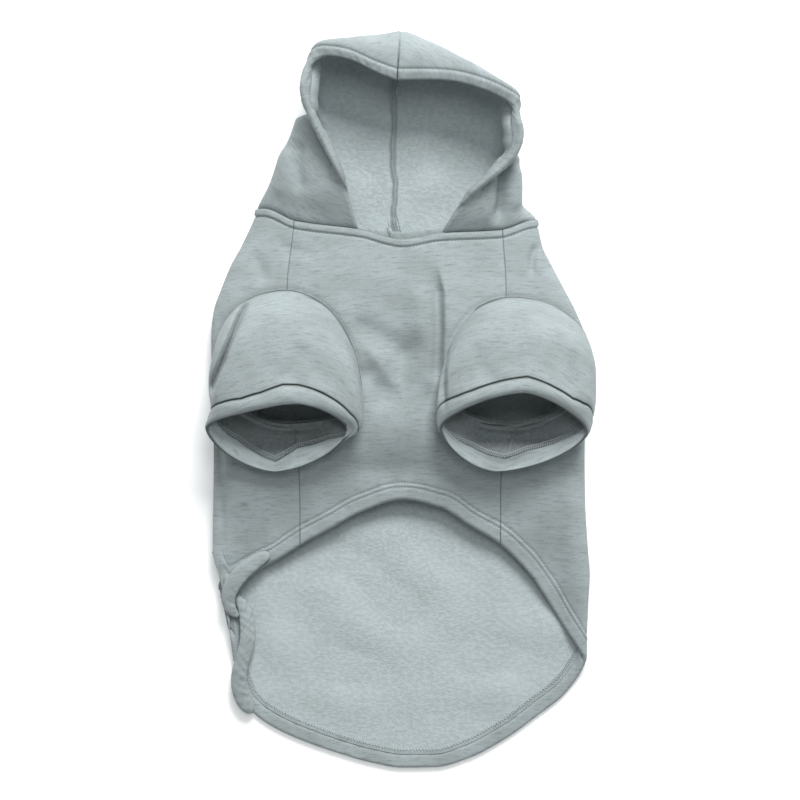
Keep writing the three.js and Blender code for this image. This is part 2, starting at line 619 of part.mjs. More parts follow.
// The hood is made up to the neck seam, from its front corner round to the middle of the nape,
// and trimmed to its gap there.
function neckEdgePoint(side, share) {
  const round = lerp(1, HOOD_FRONT_ROUND, share);
  return bodyPoint(side, round, neckY(side, round));
}

// Even steps from the spine to the turned hem, and the hem itself, as shares of the profile.
function hoodShares(total) {
  const hemStart = 1 - HEM_DEPTH / total;
  const cloth = Array.from({ length: HOOD_CELLS_UP + 1 }, (_, j) => (
    (hemStart - WALL / total) * j / HOOD_CELLS_UP
  ));
  return [...cloth, hemStart, 1];
}

// The crown seam, midway between the two halves' last sections.
function crownSeam() {
  const [left, right] = Object.keys(SIDES).map((side) => hoodProfile(side, 1));
  return hoodShares((left.total + right.total) / 2).map((share) => (
    pointAt(left, share).lerp(pointAt(right, share), 0.5)
  ));
}

function hoodGrid(side) {
  const neckProfile = hoodProfile(side, 0);
  const grid = [];
  for (let i = 0; i < HOOD_CELLS_ROUND; i += 1) {
    const round = i / HOOD_CELLS_ROUND;
    const profile = hoodProfile(side, round);
    const hold = 1 - smooth(round / NECK_BLEND);
    grid.push(hoodShares(profile.total).map((share) => {
      const shift = neckEdgePoint(side, share).sub(pointAt(neckProfile, share));
      const point = pointAt(profile, share).addScaledVector(shift, hold);
      return point.setZ(Math.max(0, point.z));
    }));
  }
  const aside = new THREE.Vector3(SIDES[side] * SEAM_GAP / 2, 0, 0);
  grid.push(crownSeam().map((point) => point.add(aside)));
  return grid;
}

function hoodGeometry(side) {
  const grid = hoodGrid(side);
  const normals = gridNormals(grid, { flipped: side === 'right', lastColumn: 'x' });
  normals[0].forEach((normal) => normal.setY(0).normalize());
  const last = grid[0].length - 1;
  const inner = inset(grid, normals, (i, j) => (j >= last - 1 ? TURNED_WALL : WALL));
  return wallBetween(grid, inner);
}

// Assembly

const CLOTH = { roughness: 0.95, metalness: 0 };
const jersey = new THREE.MeshStandardMaterial({ color: '#a6b1b1', ...CLOTH });
const hoodJersey = new THREE.MeshStandardMaterial({ color: '#a2adad', ...CLOTH });
const sleeveJersey = new THREE.MeshStandardMaterial({ color: '#9faaab', ...CLOTH });
const cuffJersey = new THREE.MeshStandardMaterial({ color: '#98a3a4', ...CLOTH });

function named(name, geometry, material) {
  geometry.computeVertexNormals();
  const mesh = new THREE.Mesh(geometry, material);
  mesh.name = name;
  return mesh;
}

function buildBody() {
  const panels = ['belly', 'back'].map((panel) => panelGrid(panel));
  const [belly, back] = panels.map((columns) => {
    const grid = columns.map((places) => places.map(({ point }) => point));
    const normals = gridNormals(grid, { firstRow: 'y' });
    return { columns, grid, normals };
  });
  shareNormals(belly.normals.at(-1), back.normals[0]);
  shareNormals(back.normals.at(-1), belly.normals[0]);
  const cutters = Object.keys(SIDES).map((side) => toSolid(armholeCutter(side)));
  const cut = (panel) => cutters.reduce(
    (solid, cutter) => solid.subtract(cutter),
    toSolid(panelGeometry(panel.columns, panel.normals)),
  );
  return { belly: cut(belly), back: cut(back), room: bodyRoom([belly, back]) };
}

// The room that the body takes, a seam's gap larger and at the neck the neck gap longer, for
// trimming what meets it.
function bodyRoom(panels) {
  const ringsOf = (wall) => {
    const grown = panels.flatMap(({ grid, normals }) => inset(grid, normals, () => wall));
    return grown[0].map((_, j) => grown.map((points) => points[j]));
  };
  const rings = ringsOf(-SEAM_GAP);
  const [neckInside] = ringsOf(2 * TURNED_WALL);
  [rings[0], neckInside].flat().forEach((point) => {
    point.y += NECK_GAP;
  });
  return toSolid(filledRings([neckInside, ...rings]));
}

function buildHoodie() {
  const group = new THREE.Group();
  const body = buildBody();
  group.add(named('back_panel', toGeometry(body.back), jersey));
  group.add(named('belly_panel', toGeometry(body.belly), jersey));
  Object.keys(SIDES).forEach((side) => {
    const hood = toSolid(hoodGeometry(side)).subtract(body.room);
    group.add(named(`hood_${side}`, toGeometry(hood), hoodJersey));
    const sleeve = toSolid(sleeveGeometry(side)).subtract(body.room);
    group.add(named(`sleeve_${side}`, toGeometry(sleeve), sleeveJersey));
    const cuff = toSolid(cuffGeometry(side)).subtract(body.room);
    group.add(named(`cuff_${side}`, toGeometry(cuff), cuffJersey));
  });
  // The middle of the whole lies over the origin.
  const box = new THREE.Box3().setFromObject(group);
  group.position.set(-(box.min.x + box.max.x) / 2, -(box.min.y + box.max.y) / 2, -box.min.z);
  return group;
}

export default buildHoodie();
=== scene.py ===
"""A dog hoodie of heather grey fleece-backed jersey, laid on its back with the belly side up.

Lengths in this file are millimetres until a mesh is made. +Z is up, +Y towards the hood.
"""
from __future__ import annotations

import logging
import math
from dataclasses import dataclass, field
from enum import Enum

import bpy
import numpy as np
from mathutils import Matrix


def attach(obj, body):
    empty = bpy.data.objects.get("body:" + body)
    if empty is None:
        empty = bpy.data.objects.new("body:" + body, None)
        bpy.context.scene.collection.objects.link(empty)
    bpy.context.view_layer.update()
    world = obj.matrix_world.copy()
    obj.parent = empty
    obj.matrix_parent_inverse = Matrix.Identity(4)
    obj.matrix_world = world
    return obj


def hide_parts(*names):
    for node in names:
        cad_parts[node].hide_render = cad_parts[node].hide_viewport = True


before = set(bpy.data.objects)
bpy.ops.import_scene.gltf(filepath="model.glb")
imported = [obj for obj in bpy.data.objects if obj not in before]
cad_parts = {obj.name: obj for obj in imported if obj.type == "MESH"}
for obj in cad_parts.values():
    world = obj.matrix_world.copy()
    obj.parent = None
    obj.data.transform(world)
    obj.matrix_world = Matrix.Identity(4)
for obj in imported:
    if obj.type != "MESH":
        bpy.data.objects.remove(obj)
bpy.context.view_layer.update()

LOG = logging.getLogger("dog_hoodie")
MM = 0.001
SIDES = {"left": -1.0, "right": 1.0}

BODY_LENGTH = 396.0
CHEST_WIDTH = 284.0
CHEST_HEIGHT = 34.0
SIDE_SEAM_OUT = 78.0
HOOD_LENGTH = 157.0
HOOD_WIDTH = 200.0
HOOD_HEIGHT = 50.0
SLEEVE_WIDTH = 112.0
SLEEVE_LENGTH = 75.0
SLEEVE_HEIGHT = 62.0
SLEEVE_OUT = 84.0
WALL = 2.2
TURNED_WALL = 4.2
HEM_DEPTH = 13.4
HOOD_FACING = 21.0
HOOD_STITCH = 9.4
NECK_ALLOWANCE = 6.0
SIDE_ROLL = 17.0
ROLL_LIMIT = 0.8
WALL_RISE = 0.9
BODY_SIDE_HEIGHT = 0.45
BODY_DOME = 0.62
HALF_CHEST = CHEST_WIDTH / 2
HALF_HOOD = HOOD_WIDTH / 2
HALF_SLEEVE = SLEEVE_WIDTH / 2
NECK_Y = BODY_LENGTH - (BODY_LENGTH + HOOD_LENGTH) / 2
HOOD_SPINE_X = -0.05
HOOD_SPINE_END = 0.62
HOOD_SIDE_HEIGHT = 0.36
HOOD_FRONT_ROUND = 0.14
NECK_BLEND = 0.3
ARMHOLE_TOP_Y = 0.096
CUFF_SEAM = 0.75
ARMHOLE_SINK = 5.0
CUFF_WALL = 3.4
ARMHOLE_EDGE = -2.6
LIP_LIFT = 6.0
DENT_DEPTH = 14.0
DENTS = {"left": (-88.0, -22.0, 36.0, 17.0), "right": (84.0, -19.0, 36.0, 17.0)}
SLEEVE_SEAT_GAP = 0.5
# How far the cuff's seam sags towards the mouth over the sleeve, and how far it is pulled back or
# forward underneath, each at places across the hoodie.
SEAM_SAGS = {
    "left": ((-142.0, 1.0), (-119.0, 5.6), (-104.0, 4.2), (-88.0, 0.0), (-76.0, 0.2), (-53.0, 2.6),
             (-38.0, 3.6), (-29.0, 2.0)),
    "right": ((28.0, 1.5), (40.0, 3.8), (51.0, 4.2), (75.0, 1.8), (92.0, 0.4), (113.0, 5.4),
              (126.0, 7.6), (134.0, 5.0), (141.0, 1.0)),
}
INNER_NOTCHES = {
    "left": ((-142.0, 0.0), (-124.0, 3.6), (-94.0, -5.0), (-77.0, 4.4), (-52.0, 6.4), (-38.0, 3.0),
             (-30.0, 0.0)),
    "right": ((30.0, 0.0), (50.0, 2.0), (76.0, -2.6), (94.0, 2.4), (120.0, 3.0), (140.0, 0.0)),
}
# Distances of the rows from the neck seam and from the folded hems, close together where the
# stitches and the rounded edges are.
NECK_ROWS_AT = np.array([0, 0.3, 0.8, 1.5, 2.6, 3.8, 4.8, 5.5, 6.0, 6.5, 7.2, 8.2])
HEM_ROWS_AT = np.array([
    17.0, 16.0, 15.2, 14.6, 14.1, 13.7, 13.3, 12.9, 12.5, 12.0, 11.3, 10.6, 10.1, 9.7, 9.3,
    8.7, 7.8, 6.6, 5.4, 4.3, 3.3, 2.4, 1.6, 0.9, 0.4, 0.1, 0.0,
])
EDGE_AT = np.array([0.0, 0.25, 0.6, 1.1, 1.9])
HOOD_HEM_ROWS_AT = np.array([
    24.0, 23.0, 22.4, 21.9, 21.4, 20.8, 19.6, 18.0, 16.0, 14.0, 12.4, 11.2, 10.4, 9.8, 9.4, 9.0,
    8.4, 7.6, 6.4, 5.2, 4.2, 3.3, 2.5, 1.7, 1.0, 0.5, 0.15, 0.0,
])
# Shares of the sleeve at which the rings of its cloth and of its cuff's cloth lie.
SLEEVE_RINGS_AT = np.concatenate([
    [0, 0.004, 0.01, 0.02, 0.035, 0.055],
    np.linspace(0.08, CUFF_SEAM - 0.03, 40),
    CUFF_SEAM - np.array([0.02, 0.012, 0.006, 0.002, 0.0]),
])
CUFF_RINGS_AT = CUFF_SEAM + (1 - CUFF_SEAM) * np.array([
    0.03, 0.035, 0.05, 0.08, 0.12, 0.18, 0.26, 0.34, 0.42, 0.5, 0.58, 0.66, 0.74, 0.8,
    0.86, 0.9, 0.93, 0.955, 0.975, 0.99, 1.0,
])
RING_POINTS = 200
ARMHOLE_POINTS = 96
# The armholes are cut in the upper cloth only, which lies above this height.
ARMHOLE_CUT_ABOVE = 13.6
# Rough half widths that turn shares across a panel into millimetres from its side seams.
BELLY_HALF_ACROSS = 78.0
BACK_HALF_ACROSS = 225.0
HOOD_RIM_LENGTH = 150.0
SIDE_ROUNDING = 0.55
NECK_ROUNDING = 1.6
HEM_ROUNDING = 2.1
CORNER_SHARES = (0.1, 0.4)
CORNER_COLUMNS = 84
HEM_SAG = 12.5
TWIN_ROWS_AT = (12.9, 9.7)
TOPSTITCH_AT = 6.2
HOOD_STITCH_FROM = 50
HALF_CROWN_GAP = 0.15
# Where along the hood its rim begins and ends to flare, over what share, and how it is drawn out.
FLARE_RISE = (0.36, 0.13)
FLARE_FALL = (0.73, 0.11)
FLARE_BLEND = (0.29, 0.17)
FLARE_ANGLES = (32.0, 204.0)
FLARE_TURN_AT = (0.54, 0.77)
FLARE_PULLS = (17.0, 22.0)
FLARE_TUCK = 14.0
# The sewn allowance of the nape that shows through the hood's opening, and its loose thread.
NAPE_PATH = [
    (-44.0, 127.6, 4.2), (-30.0, 125.6, 4.0), (-14.0, 123.2, 4.0), (0.0, 121.8, 4.0), (16.0, 123.2, 4.0),
    (32.0, 125.0, 4.0), (46.0, 126.6, 4.2),
]
THREAD_TAIL = [
    (-9.6, 132.5, 6.6), (-8.4, 130.0, 6.8), (-9.8, 127.4, 6.6), (-7.6, 125.4, 6.4), (-8.8, 123.0, 6.2),
    (-6.0, 121.4, 6.0),
]
# The points of each sleeve's rings that are its underside, and the one where its seam runs.
UNDERSIDE = (106, 195)
UNDERARM_AT = {"left": 146, "right": 152}
# The tail hem's threads show from this place on, and the curled corner hides the lines of stitches
# left of a place across and between two places along.
TAIL_HEM_FROM = -232.0
CURLED_CORNER = (-117.5, -236.0, -112.0)
# What moves the frame that the panels are worked out in to the CAD's centred one.
ORIGIN_SHIFT = np.array([1.28, 0.325, 0.0])


class Table:
    """A short table of shares, one tuple for a row, with a name for each column."""

    def __init__(self, columns: str, rows: list[tuple[float, ...]]) -> None:
        """Keeps each column under its name."""
        self.data = dict(zip(columns.split(), np.array(rows, float).T))

    def steady(self, key: str, name: str, at: np.ndarray) -> np.ndarray:
        """A column between its rows, without overshoot and level at both ends.

        Args:
            key: the column that places the rows.
            name: the column that is read.
            at: places to read it at.

        Returns:
            The column's values there.
        """
        x, v = self.data[key], self.data[name]
        slope = np.diff(v) / np.diff(x)
        tangent = np.zeros_like(v)
        before, after = slope[:-1], slope[1:]
        same = before * after > 0
        total = np.where(same, before + after, 1.0)
        tangent[1:-1] = np.where(same, 2 * before * after / total, 0.0)
        at = np.asarray(at, float)
        i = np.clip(np.searchsorted(x, at, side="left") - 1, 0, len(x) - 2)
        width = x[i + 1] - x[i]
        t = np.clip((at - x[i]) / width, 0, 1)
        return (
            v[i] * (1 + 2 * t) * (1 - t) ** 2
            + v[i + 1] * t * t * (3 - 2 * t)
            + width * (tangent[i] * t * (1 - t) ** 2 - tangent[i + 1] * t * t * (1 - t))
        )

    def even(self, name: str, at: np.ndarray) -> np.ndarray:
        """A column whose rows are evenly spaced from 0 to 1, as a smooth curve.

        Args:
            name: the column that is read.
            at: places from 0 to 1.

        Returns:
            The column's values there.
        """
        v = self.data[name]
        last = len(v) - 1
        place = np.clip(np.asarray(at, float), 0, 1) * last
        i = np.minimum(last - 1, np.floor(place).astype(int))
        p0, p1, p2, p3 = (v[np.clip(i + k, 0, last)] for k in (-1, 0, 1, 2))
        t = place - i
        return 0.5 * (
            2 * p1
            + (p2 - p0) * t
            + (2 * p0 - 5 * p1 + 4 * p2 - p3) * t * t
            + (3 * p1 - p0 - 3 * p2 + p3) * t ** 3
        )


BODY_ROWS = Table("along left right height", [
    (-0.062, 0.768, 0.705, 0.72),
    (0.010, 0.842, 0.735, 0.78),
    (0.048, 0.900, 0.785, 0.84),
    (0.093, 0.951, 0.850, 0.92),
    (0.138, 0.993, 0.915, 0.98),
    (0.183, 1.005, 0.958, 1.00),
    (0.303, 0.998, 0.965, 1.00),
    (0.408, 0.992, 0.960, 0.94),
    (0.490, 0.995, 0.963, 0.86),
    (0.588, 0.998, 0.979, 0.78),
    (0.634, 0.968, 0.989, 0.74),
    (0.678, 0.937, 0.982, 0.70),
    (0.768, 0.905, 0.972, 0.58),
    (0.830, 0.908, 0.968, 0.48),
    (1.000, 0.912, 0.960, 0.40),
])
NECK_ROWS = Table("round left right", [
    (0.00, 0.000, 0.000),
    (0.13, -0.018, -0.011),
    (0.34, -0.034, -0.017),
    (0.46, -0.058, -0.036),
    (0.54, -0.058, -0.040),
    (0.66, -0.036, -0.026),
    (0.82, -0.004, -0.002),
    (1.00, 0.014, 0.014),
])
HEM_ROWS = Table("round left right", [
    (0.00, 0.492, 0.492),
    (0.10, 0.514, 0.507),
    (0.18, 0.546, 0.543),
    (0.25, 0.574, 0.574),
    (0.32, 0.606, 0.625),
    (0.38, 0.628, 0.684),
    (0.43, 0.654, 0.738),
    (0.47, 0.690, 0.776),
    (0.50, 0.765, 0.802),
    (0.53, 0.845, 0.832),
    (0.57, 0.893, 0.865),
    (0.64, 0.926, 0.904),
    (0.72, 0.950, 0.945),
    (0.82, 0.973, 0.982),
    (0.91, 0.990, 0.999),
    (1.00, 1.000, 1.000),
])
SIDE_SEAM_ROWS = Table("along left right", [
    (-0.060, 1.03, 0.95),
    (0.100, 1.10, 0.99),
    (0.300, 1.03, 0.98),
    (0.490, 0.98, 0.94),
    (1.000, 1.00, 0.94),
])
HOOD_COLUMNS = "outX outY rimX rimY height lean lift"
HOOD_ROWS = {
    "left": Table(HOOD_COLUMNS, [
        (1.063, 0.153, 0.297, 0.048, 0.56, -0.10, 0.00),
        (0.975, 0.252, 0.379, 0.196, 0.74, -0.02, 0.05),
        (0.910, 0.385, 0.491, 0.318, 0.84, 0.08, 0.16),
        (0.848, 0.475, 0.602, 0.441, 0.90, 0.15, 0.26),
        (0.803, 0.565, 0.691, 0.554, 0.93, 0.16, 0.30),
        (0.762, 0.645, 0.751, 0.645, 0.95, 0.13, 0.30),
        (0.773, 0.730, 0.763, 0.727, 0.96, 0.08, 0.20),
        (0.718, 0.836, 0.712, 0.810, 0.97, 0.01, 0.06),
        (0.550, 0.920, 0.565, 0.848, 0.98, -0.05, -0.06),
        (0.342, 0.953, 0.379, 0.830, 0.97, -0.08, -0.12),
        (0.156, 0.976, 0.193, 0.773, 0.94, -0.10, -0.16),
        (0.010, 1.000, 0.040, 0.735, 0.92, -0.10, -0.18),
    ]),
    "right": Table(HOOD_COLUMNS, [
        (0.989, 0.096, 0.320, 0.039, 0.56, -0.10, 0.00),
        (0.922, 0.157, 0.409, 0.120, 0.72, -0.02, 0.05),
        (0.892, 0.210, 0.557, 0.214, 0.82, 0.07, 0.14),
        (0.882, 0.290, 0.714, 0.295, 0.88, 0.13, 0.24),
        (0.880, 0.375, 0.840, 0.370, 0.92, 0.14, 0.28),
        (0.907, 0.455, 0.899, 0.451, 0.94, 0.12, 0.26),
        (0.912, 0.527, 0.902, 0.525, 0.95, 0.08, 0.18),
        (0.868, 0.610, 0.858, 0.592, 0.95, 0.01, 0.06),
        (0.746, 0.722, 0.768, 0.640, 0.95, -0.05, -0.06),
        (0.545, 0.816, 0.587, 0.695, 0.95, -0.08, -0.12),
        (0.322, 0.900, 0.327, 0.735, 0.93, -0.10, -0.16),
        (-0.010, 0.992, -0.040, 0.735, 0.92, -0.10, -0.18),
    ]),
}
SLEEVE_COLUMNS = "outX outY outZ topX topY topZ inX inY inZ underX underY underZ full"
SLEEVE_ROWS = {
    "left": Table(SLEEVE_COLUMNS, [
        (0.96, 0.56, 0.40, 0.05, 0.00, 0.50, -0.97, 1.09, 0.56, 0.04, 1.34, 0.50, 1.00),
        (1.04, 0.80, 0.60, 0.04, 0.30, 0.88, -0.97, 1.16, 0.72, 0.08, 1.42, 0.56, 1.05),
        (1.05, 1.00, 0.70, 0.00, 0.64, 0.99, -0.96, 1.26, 0.78, 0.12, 1.52, 0.57, 1.10),
        (1.03, 1.21, 0.75, -0.04, 0.94, 1.00, -0.93, 1.37, 0.79, 0.16, 1.63, 0.57, 0.95),
        (1.11, 1.38, 0.76, -0.12, 1.14, 0.98, -0.81, 1.39, 0.78, 0.19, 1.81, 0.57, 0.80),
    ]),
    "right": Table(SLEEVE_COLUMNS, [
        (0.98, 0.60, 0.40, -0.07, 0.07, 0.50, -0.98, 0.95, 0.56, -0.03, 1.34, 0.50, 1.00),
        (1.06, 0.84, 0.60, -0.02, 0.32, 0.88, -1.00, 1.04, 0.72, -0.08, 1.42, 0.56, 1.05),
        (1.05, 1.05, 0.70, 0.06, 0.60, 0.99, -1.02, 1.14, 0.78, -0.14, 1.52, 0.57, 1.10),
        (1.02, 1.25, 0.74, 0.15, 0.86, 1.00, -1.04, 1.21, 0.79, -0.18, 1.64, 0.57, 0.95),
        (0.96, 1.42, 0.75, 0.08, 1.03, 0.98, -1.02, 1.38, 0.78, -0.27, 1.81, 0.57, 0.80),
    ]),
}


def smooth(t: np.ndarray) -> np.ndarray:
    """An easy step from 0 to 1."""
    t = np.clip(t, 0, 1)
    return t * t * (3 - 2 * t)


def bump(distance: np.ndarray, width: float) -> np.ndarray:
    """A soft hill, 1 in its middle and half as high at half its width."""
    return np.exp(-2.77 * (distance / width) ** 2)


def unit(vectors: np.ndarray) -> np.ndarray:
    """The vectors, each brought to a length of 1."""
    return vectors / np.maximum(np.linalg.norm(vectors, axis=-1, keepdims=True), 1e-9)


def ripples(place: np.ndarray, length: float, seed: int, waves: int = 9) -> np.ndarray:
    """Smooth irregular waves, from -1 to 1 or nearly.

    Args:
        place: points, with their coordinates on the last axis.
        length: usual length of a wave.
        seed: sets which waves they are.
        waves: how many plain waves are laid over each other.

    Returns:
        The height of the waves at each point.
    """
    source = np.random.default_rng(seed)
    total = np.zeros(place.shape[:-1])
    for _ in range(waves):
        direction = unit(source.normal(size=place.shape[-1]))
        pitch = 2 * np.pi / (length * source.uniform(0.7, 1.6))
        total += np.sin(place @ direction * pitch + source.uniform(0, 2 * np.pi))
    return total / math.sqrt(waves) / 1.4


def lengths_along(points: np.ndarray) -> np.ndarray:
    """How far along its line each point lies."""
    return np.concatenate([[0], np.cumsum(np.linalg.norm(np.diff(points, axis=0), axis=1))])


def by_length(points: np.ndarray, shares: np.ndarray) -> tuple[np.ndarray, np.ndarray]:
    """Walks each row of points at an even pace.

    Args:
        points: rows of points along a line.
        shares: shares of the line's length, the same for all or one set for each row.

    Returns:
        The points at those shares, and each line's length.
    """
    steps = np.linalg.norm(np.diff(points, axis=1), axis=-1)
    lengths = np.concatenate([np.zeros((len(points), 1)), np.cumsum(steps, axis=1)], axis=1)
    shares = np.broadcast_to(shares, (len(points), np.shape(shares)[-1]))
    found = np.stack([
        np.stack([np.interp(s * far[-1], far, row[:, k]) for k in range(3)], axis=-1)
        for s, far, row in zip(shares, lengths, points)
    ])
    return found, lengths[:, -1]


@dataclass
class WallProfile:
    """Sections of a wall: flat on the floor, up in a soft roll, and in a curve to the rim."""

    spine: np.ndarray
    outline: np.ndarray
    rim: np.ndarray
    side_height: np.ndarray
    rise: np.ndarray
    lean: np.ndarray
    lift: np.ndarray
    steps: int = 60

    def points(self) -> np.ndarray:
        """The points of every section, from the spine to the rim."""
        outward = self.outline - self.spine
        outward[:, 2] = 0
        reach = np.linalg.norm(outward, axis=1)[:, None, None]
        outward = unit(outward)[:, None, :]
        roll = np.minimum(SIDE_ROLL, reach * ROLL_LIMIT)
        up = np.array([0.0, 0.0, 1.0])
        spine = self.spine[:, None, :]
        height = self.side_height[:, None, None]
        t = np.linspace(0, 1, self.steps, endpoint=False)[None, :, None]
        floor = spine + outward * (reach - roll) * t
        angle = t * math.pi / 2
        bend = spine + outward * (reach - roll + roll * np.sin(angle))
        bend = bend + up * height * (1 - np.cos(angle))
        start = self.outline[:, None, :] * [1, 1, 0] + up * height
        second = start + up * self.rise[:, None, None]
        rim = self.rim[:, None, :]
        third = rim - outward * self.lean[:, None, None] - up * self.lift[:, None, None]
        t = np.linspace(0, 1, 2 * self.steps + 1)[None, :, None]
        curve = (
            start * (1 - t) ** 3
            + second * 3 * t * (1 - t) ** 2
            + third * 3 * t * t * (1 - t)
            + rim * t ** 3
        )
        return np.concatenate([floor, bend, curve], axis=1)


class FoldKind(Enum):
    """How a fold line shapes the cloth beside it."""

    VALLEY = "valley"
    RIDGE = "ridge"
    STEP = "step"
    DROP = "drop"


@dataclass(frozen=True)
class Fold:
    """A fold in the cloth, drawn in plan.

    Args:
        kind: what the line does.
        path: points of the line, in plan.
        depth: how far the cloth sinks, or rises at a ridge or step.
        width: how wide the fold is.

    A step raises the cloth on the left of its path, and a drop lowers it on the right.
    """

    kind: FoldKind
    path: tuple[tuple[float, float], ...]
    depth: float
    width: float

    def height(self, place: np.ndarray) -> np.ndarray:
        """How much the fold raises the cloth at points in plan.

        Args:
            place: points in plan.

        Returns:
            The rise at each.
        """
        path = np.array(self.path)
        steps = np.linalg.norm(np.diff(path, axis=0), axis=1)
        before = np.concatenate([[0], np.cumsum(steps)])
        best = np.full(place.shape[:-1], 1e9)
        side = np.zeros(place.shape[:-1])
        share = np.zeros(place.shape[:-1])
        for a, b, step, start in zip(path[:-1], path[1:], steps, before):
            line = (b - a) / step
            away = place - a
            t = np.clip(away @ line, 0, step)
            off = away - t[..., None] * line
            distance = np.linalg.norm(off, axis=-1)
            nearer = distance < best
            best = np.where(nearer, distance, best)
            turn = line[0] * away[..., 1] - line[1] * away[..., 0]
            side = np.where(nearer, np.sign(turn) * distance, side)
            share = np.where(nearer, (start + t) / before[-1], share)
        fade = smooth(share / 0.25) * smooth((1 - share) / 0.25)
        fade = np.maximum(fade, 0.0)
        if self.kind is FoldKind.STEP:
            past = np.exp(-np.maximum(side, 0) / (6 * self.width))
            return self.depth * fade * (smooth(side / self.width + 0.5) * past)
        if self.kind is FoldKind.DROP:
            past = np.exp(np.minimum(side, 0) / (6 * self.width))
            return -self.depth * fade * ((1 - smooth(side / self.width + 0.5)) * past)
        sign = -1.0 if self.kind is FoldKind.VALLEY else 1.0
        return sign * self.depth * fade * bump(best, self.width)


class BodyShape:
    """The body's outer face, looked up by side, share of the way round and place along."""

    STEP = 1.0
    SHARES = 700

    def __init__(self) -> None:
        """Works out its sections once."""
        self.low = NECK_Y - BODY_LENGTH - 3
        self.ys = np.arange(self.low, NECK_Y + 30, self.STEP)
        self.along = (NECK_Y - self.ys) / BODY_LENGTH
        self.sections: dict[str, np.ndarray] = {}
        self.totals: dict[str, np.ndarray] = {}
        self.seams: dict[str, np.ndarray] = {}
        self.tops: dict[str, np.ndarray] = {}
        self.across = np.linspace(0, HALF_CHEST + 10, 320)
        for side, sign in SIDES.items():
            points, totals = by_length(self._profiles(side, sign), np.linspace(0, 1, self.SHARES))
            self.sections[side], self.totals[side] = points, totals
            out = SIDE_SEAM_OUT * SIDE_SEAM_ROWS.steady("along", side, self.along)
            seams, tops = [], []
            for row, far in zip(points, out):
                x = np.abs(row[:, 0])
                widest = int(np.argmax(x))
                seams.append(np.interp(far, x[:widest], np.linspace(0, 1, self.SHARES)[:widest]))
                tops.append(np.interp(self.across, x[:widest], row[:widest, 2]))
            self.seams[side], self.tops[side] = np.array(seams), np.array(tops)

    def _profiles(self, side: str, sign: float) -> np.ndarray:
        """Sections of one side, from the middle of the belly to the middle of the back."""
        y = self.ys
        half = HALF_CHEST * BODY_ROWS.steady("along", side, self.along)
        height = CHEST_HEIGHT * BODY_ROWS.steady("along", "height", self.along)
        nought = np.zeros_like(y)
        side_height = height * BODY_SIDE_HEIGHT
        return WallProfile(
            spine=np.stack([nought, y, nought], axis=1),
            outline=np.stack([sign * half, y, nought], axis=1),
            rim=np.stack([nought, y, height], axis=1),
            side_height=side_height,
            rise=(height - side_height) * WALL_RISE,
            lean=-half * BODY_DOME,
            lift=nought,
        ).points()[:, ::-1]

    def _row(self, y: np.ndarray) -> tuple[np.ndarray, np.ndarray]:
        """The section below each place, and the share of the way to the next."""
        place = np.clip((y - self.low) / self.STEP, 0, len(self.ys) - 1.001)
        i = np.floor(place).astype(int)
        return i, place - i

    @staticmethod
    def _between(
        table: np.ndarray, at: tuple[np.ndarray, np.ndarray], t: np.ndarray, s: np.ndarray
    ) -> np.ndarray:
        """Reads a table between its entries, t of the way to the next row and s to the next column."""
        i, j = at
        low = table[i, j] * (1 - s) + table[i, j + 1] * s
        high = table[i + 1, j] * (1 - s) + table[i + 1, j + 1] * s
        return low * (1 - t) + high * t

    def point(self, side: str, share: np.ndarray, y: np.ndarray) -> np.ndarray:
        """Points on the outer face.

        Args:
            side: left or right.
            share: 0 at the middle of the belly, 1 at the middle of the back.
            y: places along the hoodie.

        Returns:
            The points.
        """
        share, y = np.broadcast_arrays(np.asarray(share, float), np.asarray(y, float))
        i, t = self._row(y)
        place = np.clip(share, 0, 1) * (self.SHARES - 1.001)
        j = np.floor(place).astype(int)
        s = (place - j)[..., None]
        found = self._between(self.sections[side], (i, j), t[..., None], s)
        found[..., 1] = y
        return found

    def seam(self, side: str, y: np.ndarray) -> np.ndarray:
        """Share of the way round at which the side seam lies."""
        return np.interp(y, self.ys, self.seams[side])

    def total(self, side: str, y: np.ndarray) -> np.ndarray:
        """Length of a section, from the middle of the belly to the middle of the back."""
        return np.interp(y, self.ys, self.totals[side])

    def top(self, x: np.ndarray, y: np.ndarray) -> np.ndarray:
        """Height of the belly side over places in plan."""
        i, t = self._row(y)
        place = np.clip(np.abs(x) / self.across[-1], 0, 0.9999) * (len(self.across) - 1)
        j = np.floor(place).astype(int)
        left, right = (self._between(self.tops[side], (i, j), t, place - j) for side in SIDES)
        return np.where(x < 0, left, right)


BODY = BodyShape()


def along_y(share: np.ndarray) -> np.ndarray:
    """Place along the hoodie of a share of the body length."""
    return NECK_Y - share * BODY_LENGTH


def neck_y(side: str, share: np.ndarray) -> np.ndarray:
    """Place of the neck seam at a share of the way round."""
    return along_y(NECK_ROWS.steady("round", side, share))


def hem_y(side: str, share: np.ndarray) -> np.ndarray:
    """Place of the hem at a share of the way round."""
    return along_y(HEM_ROWS.steady("round", side, share))


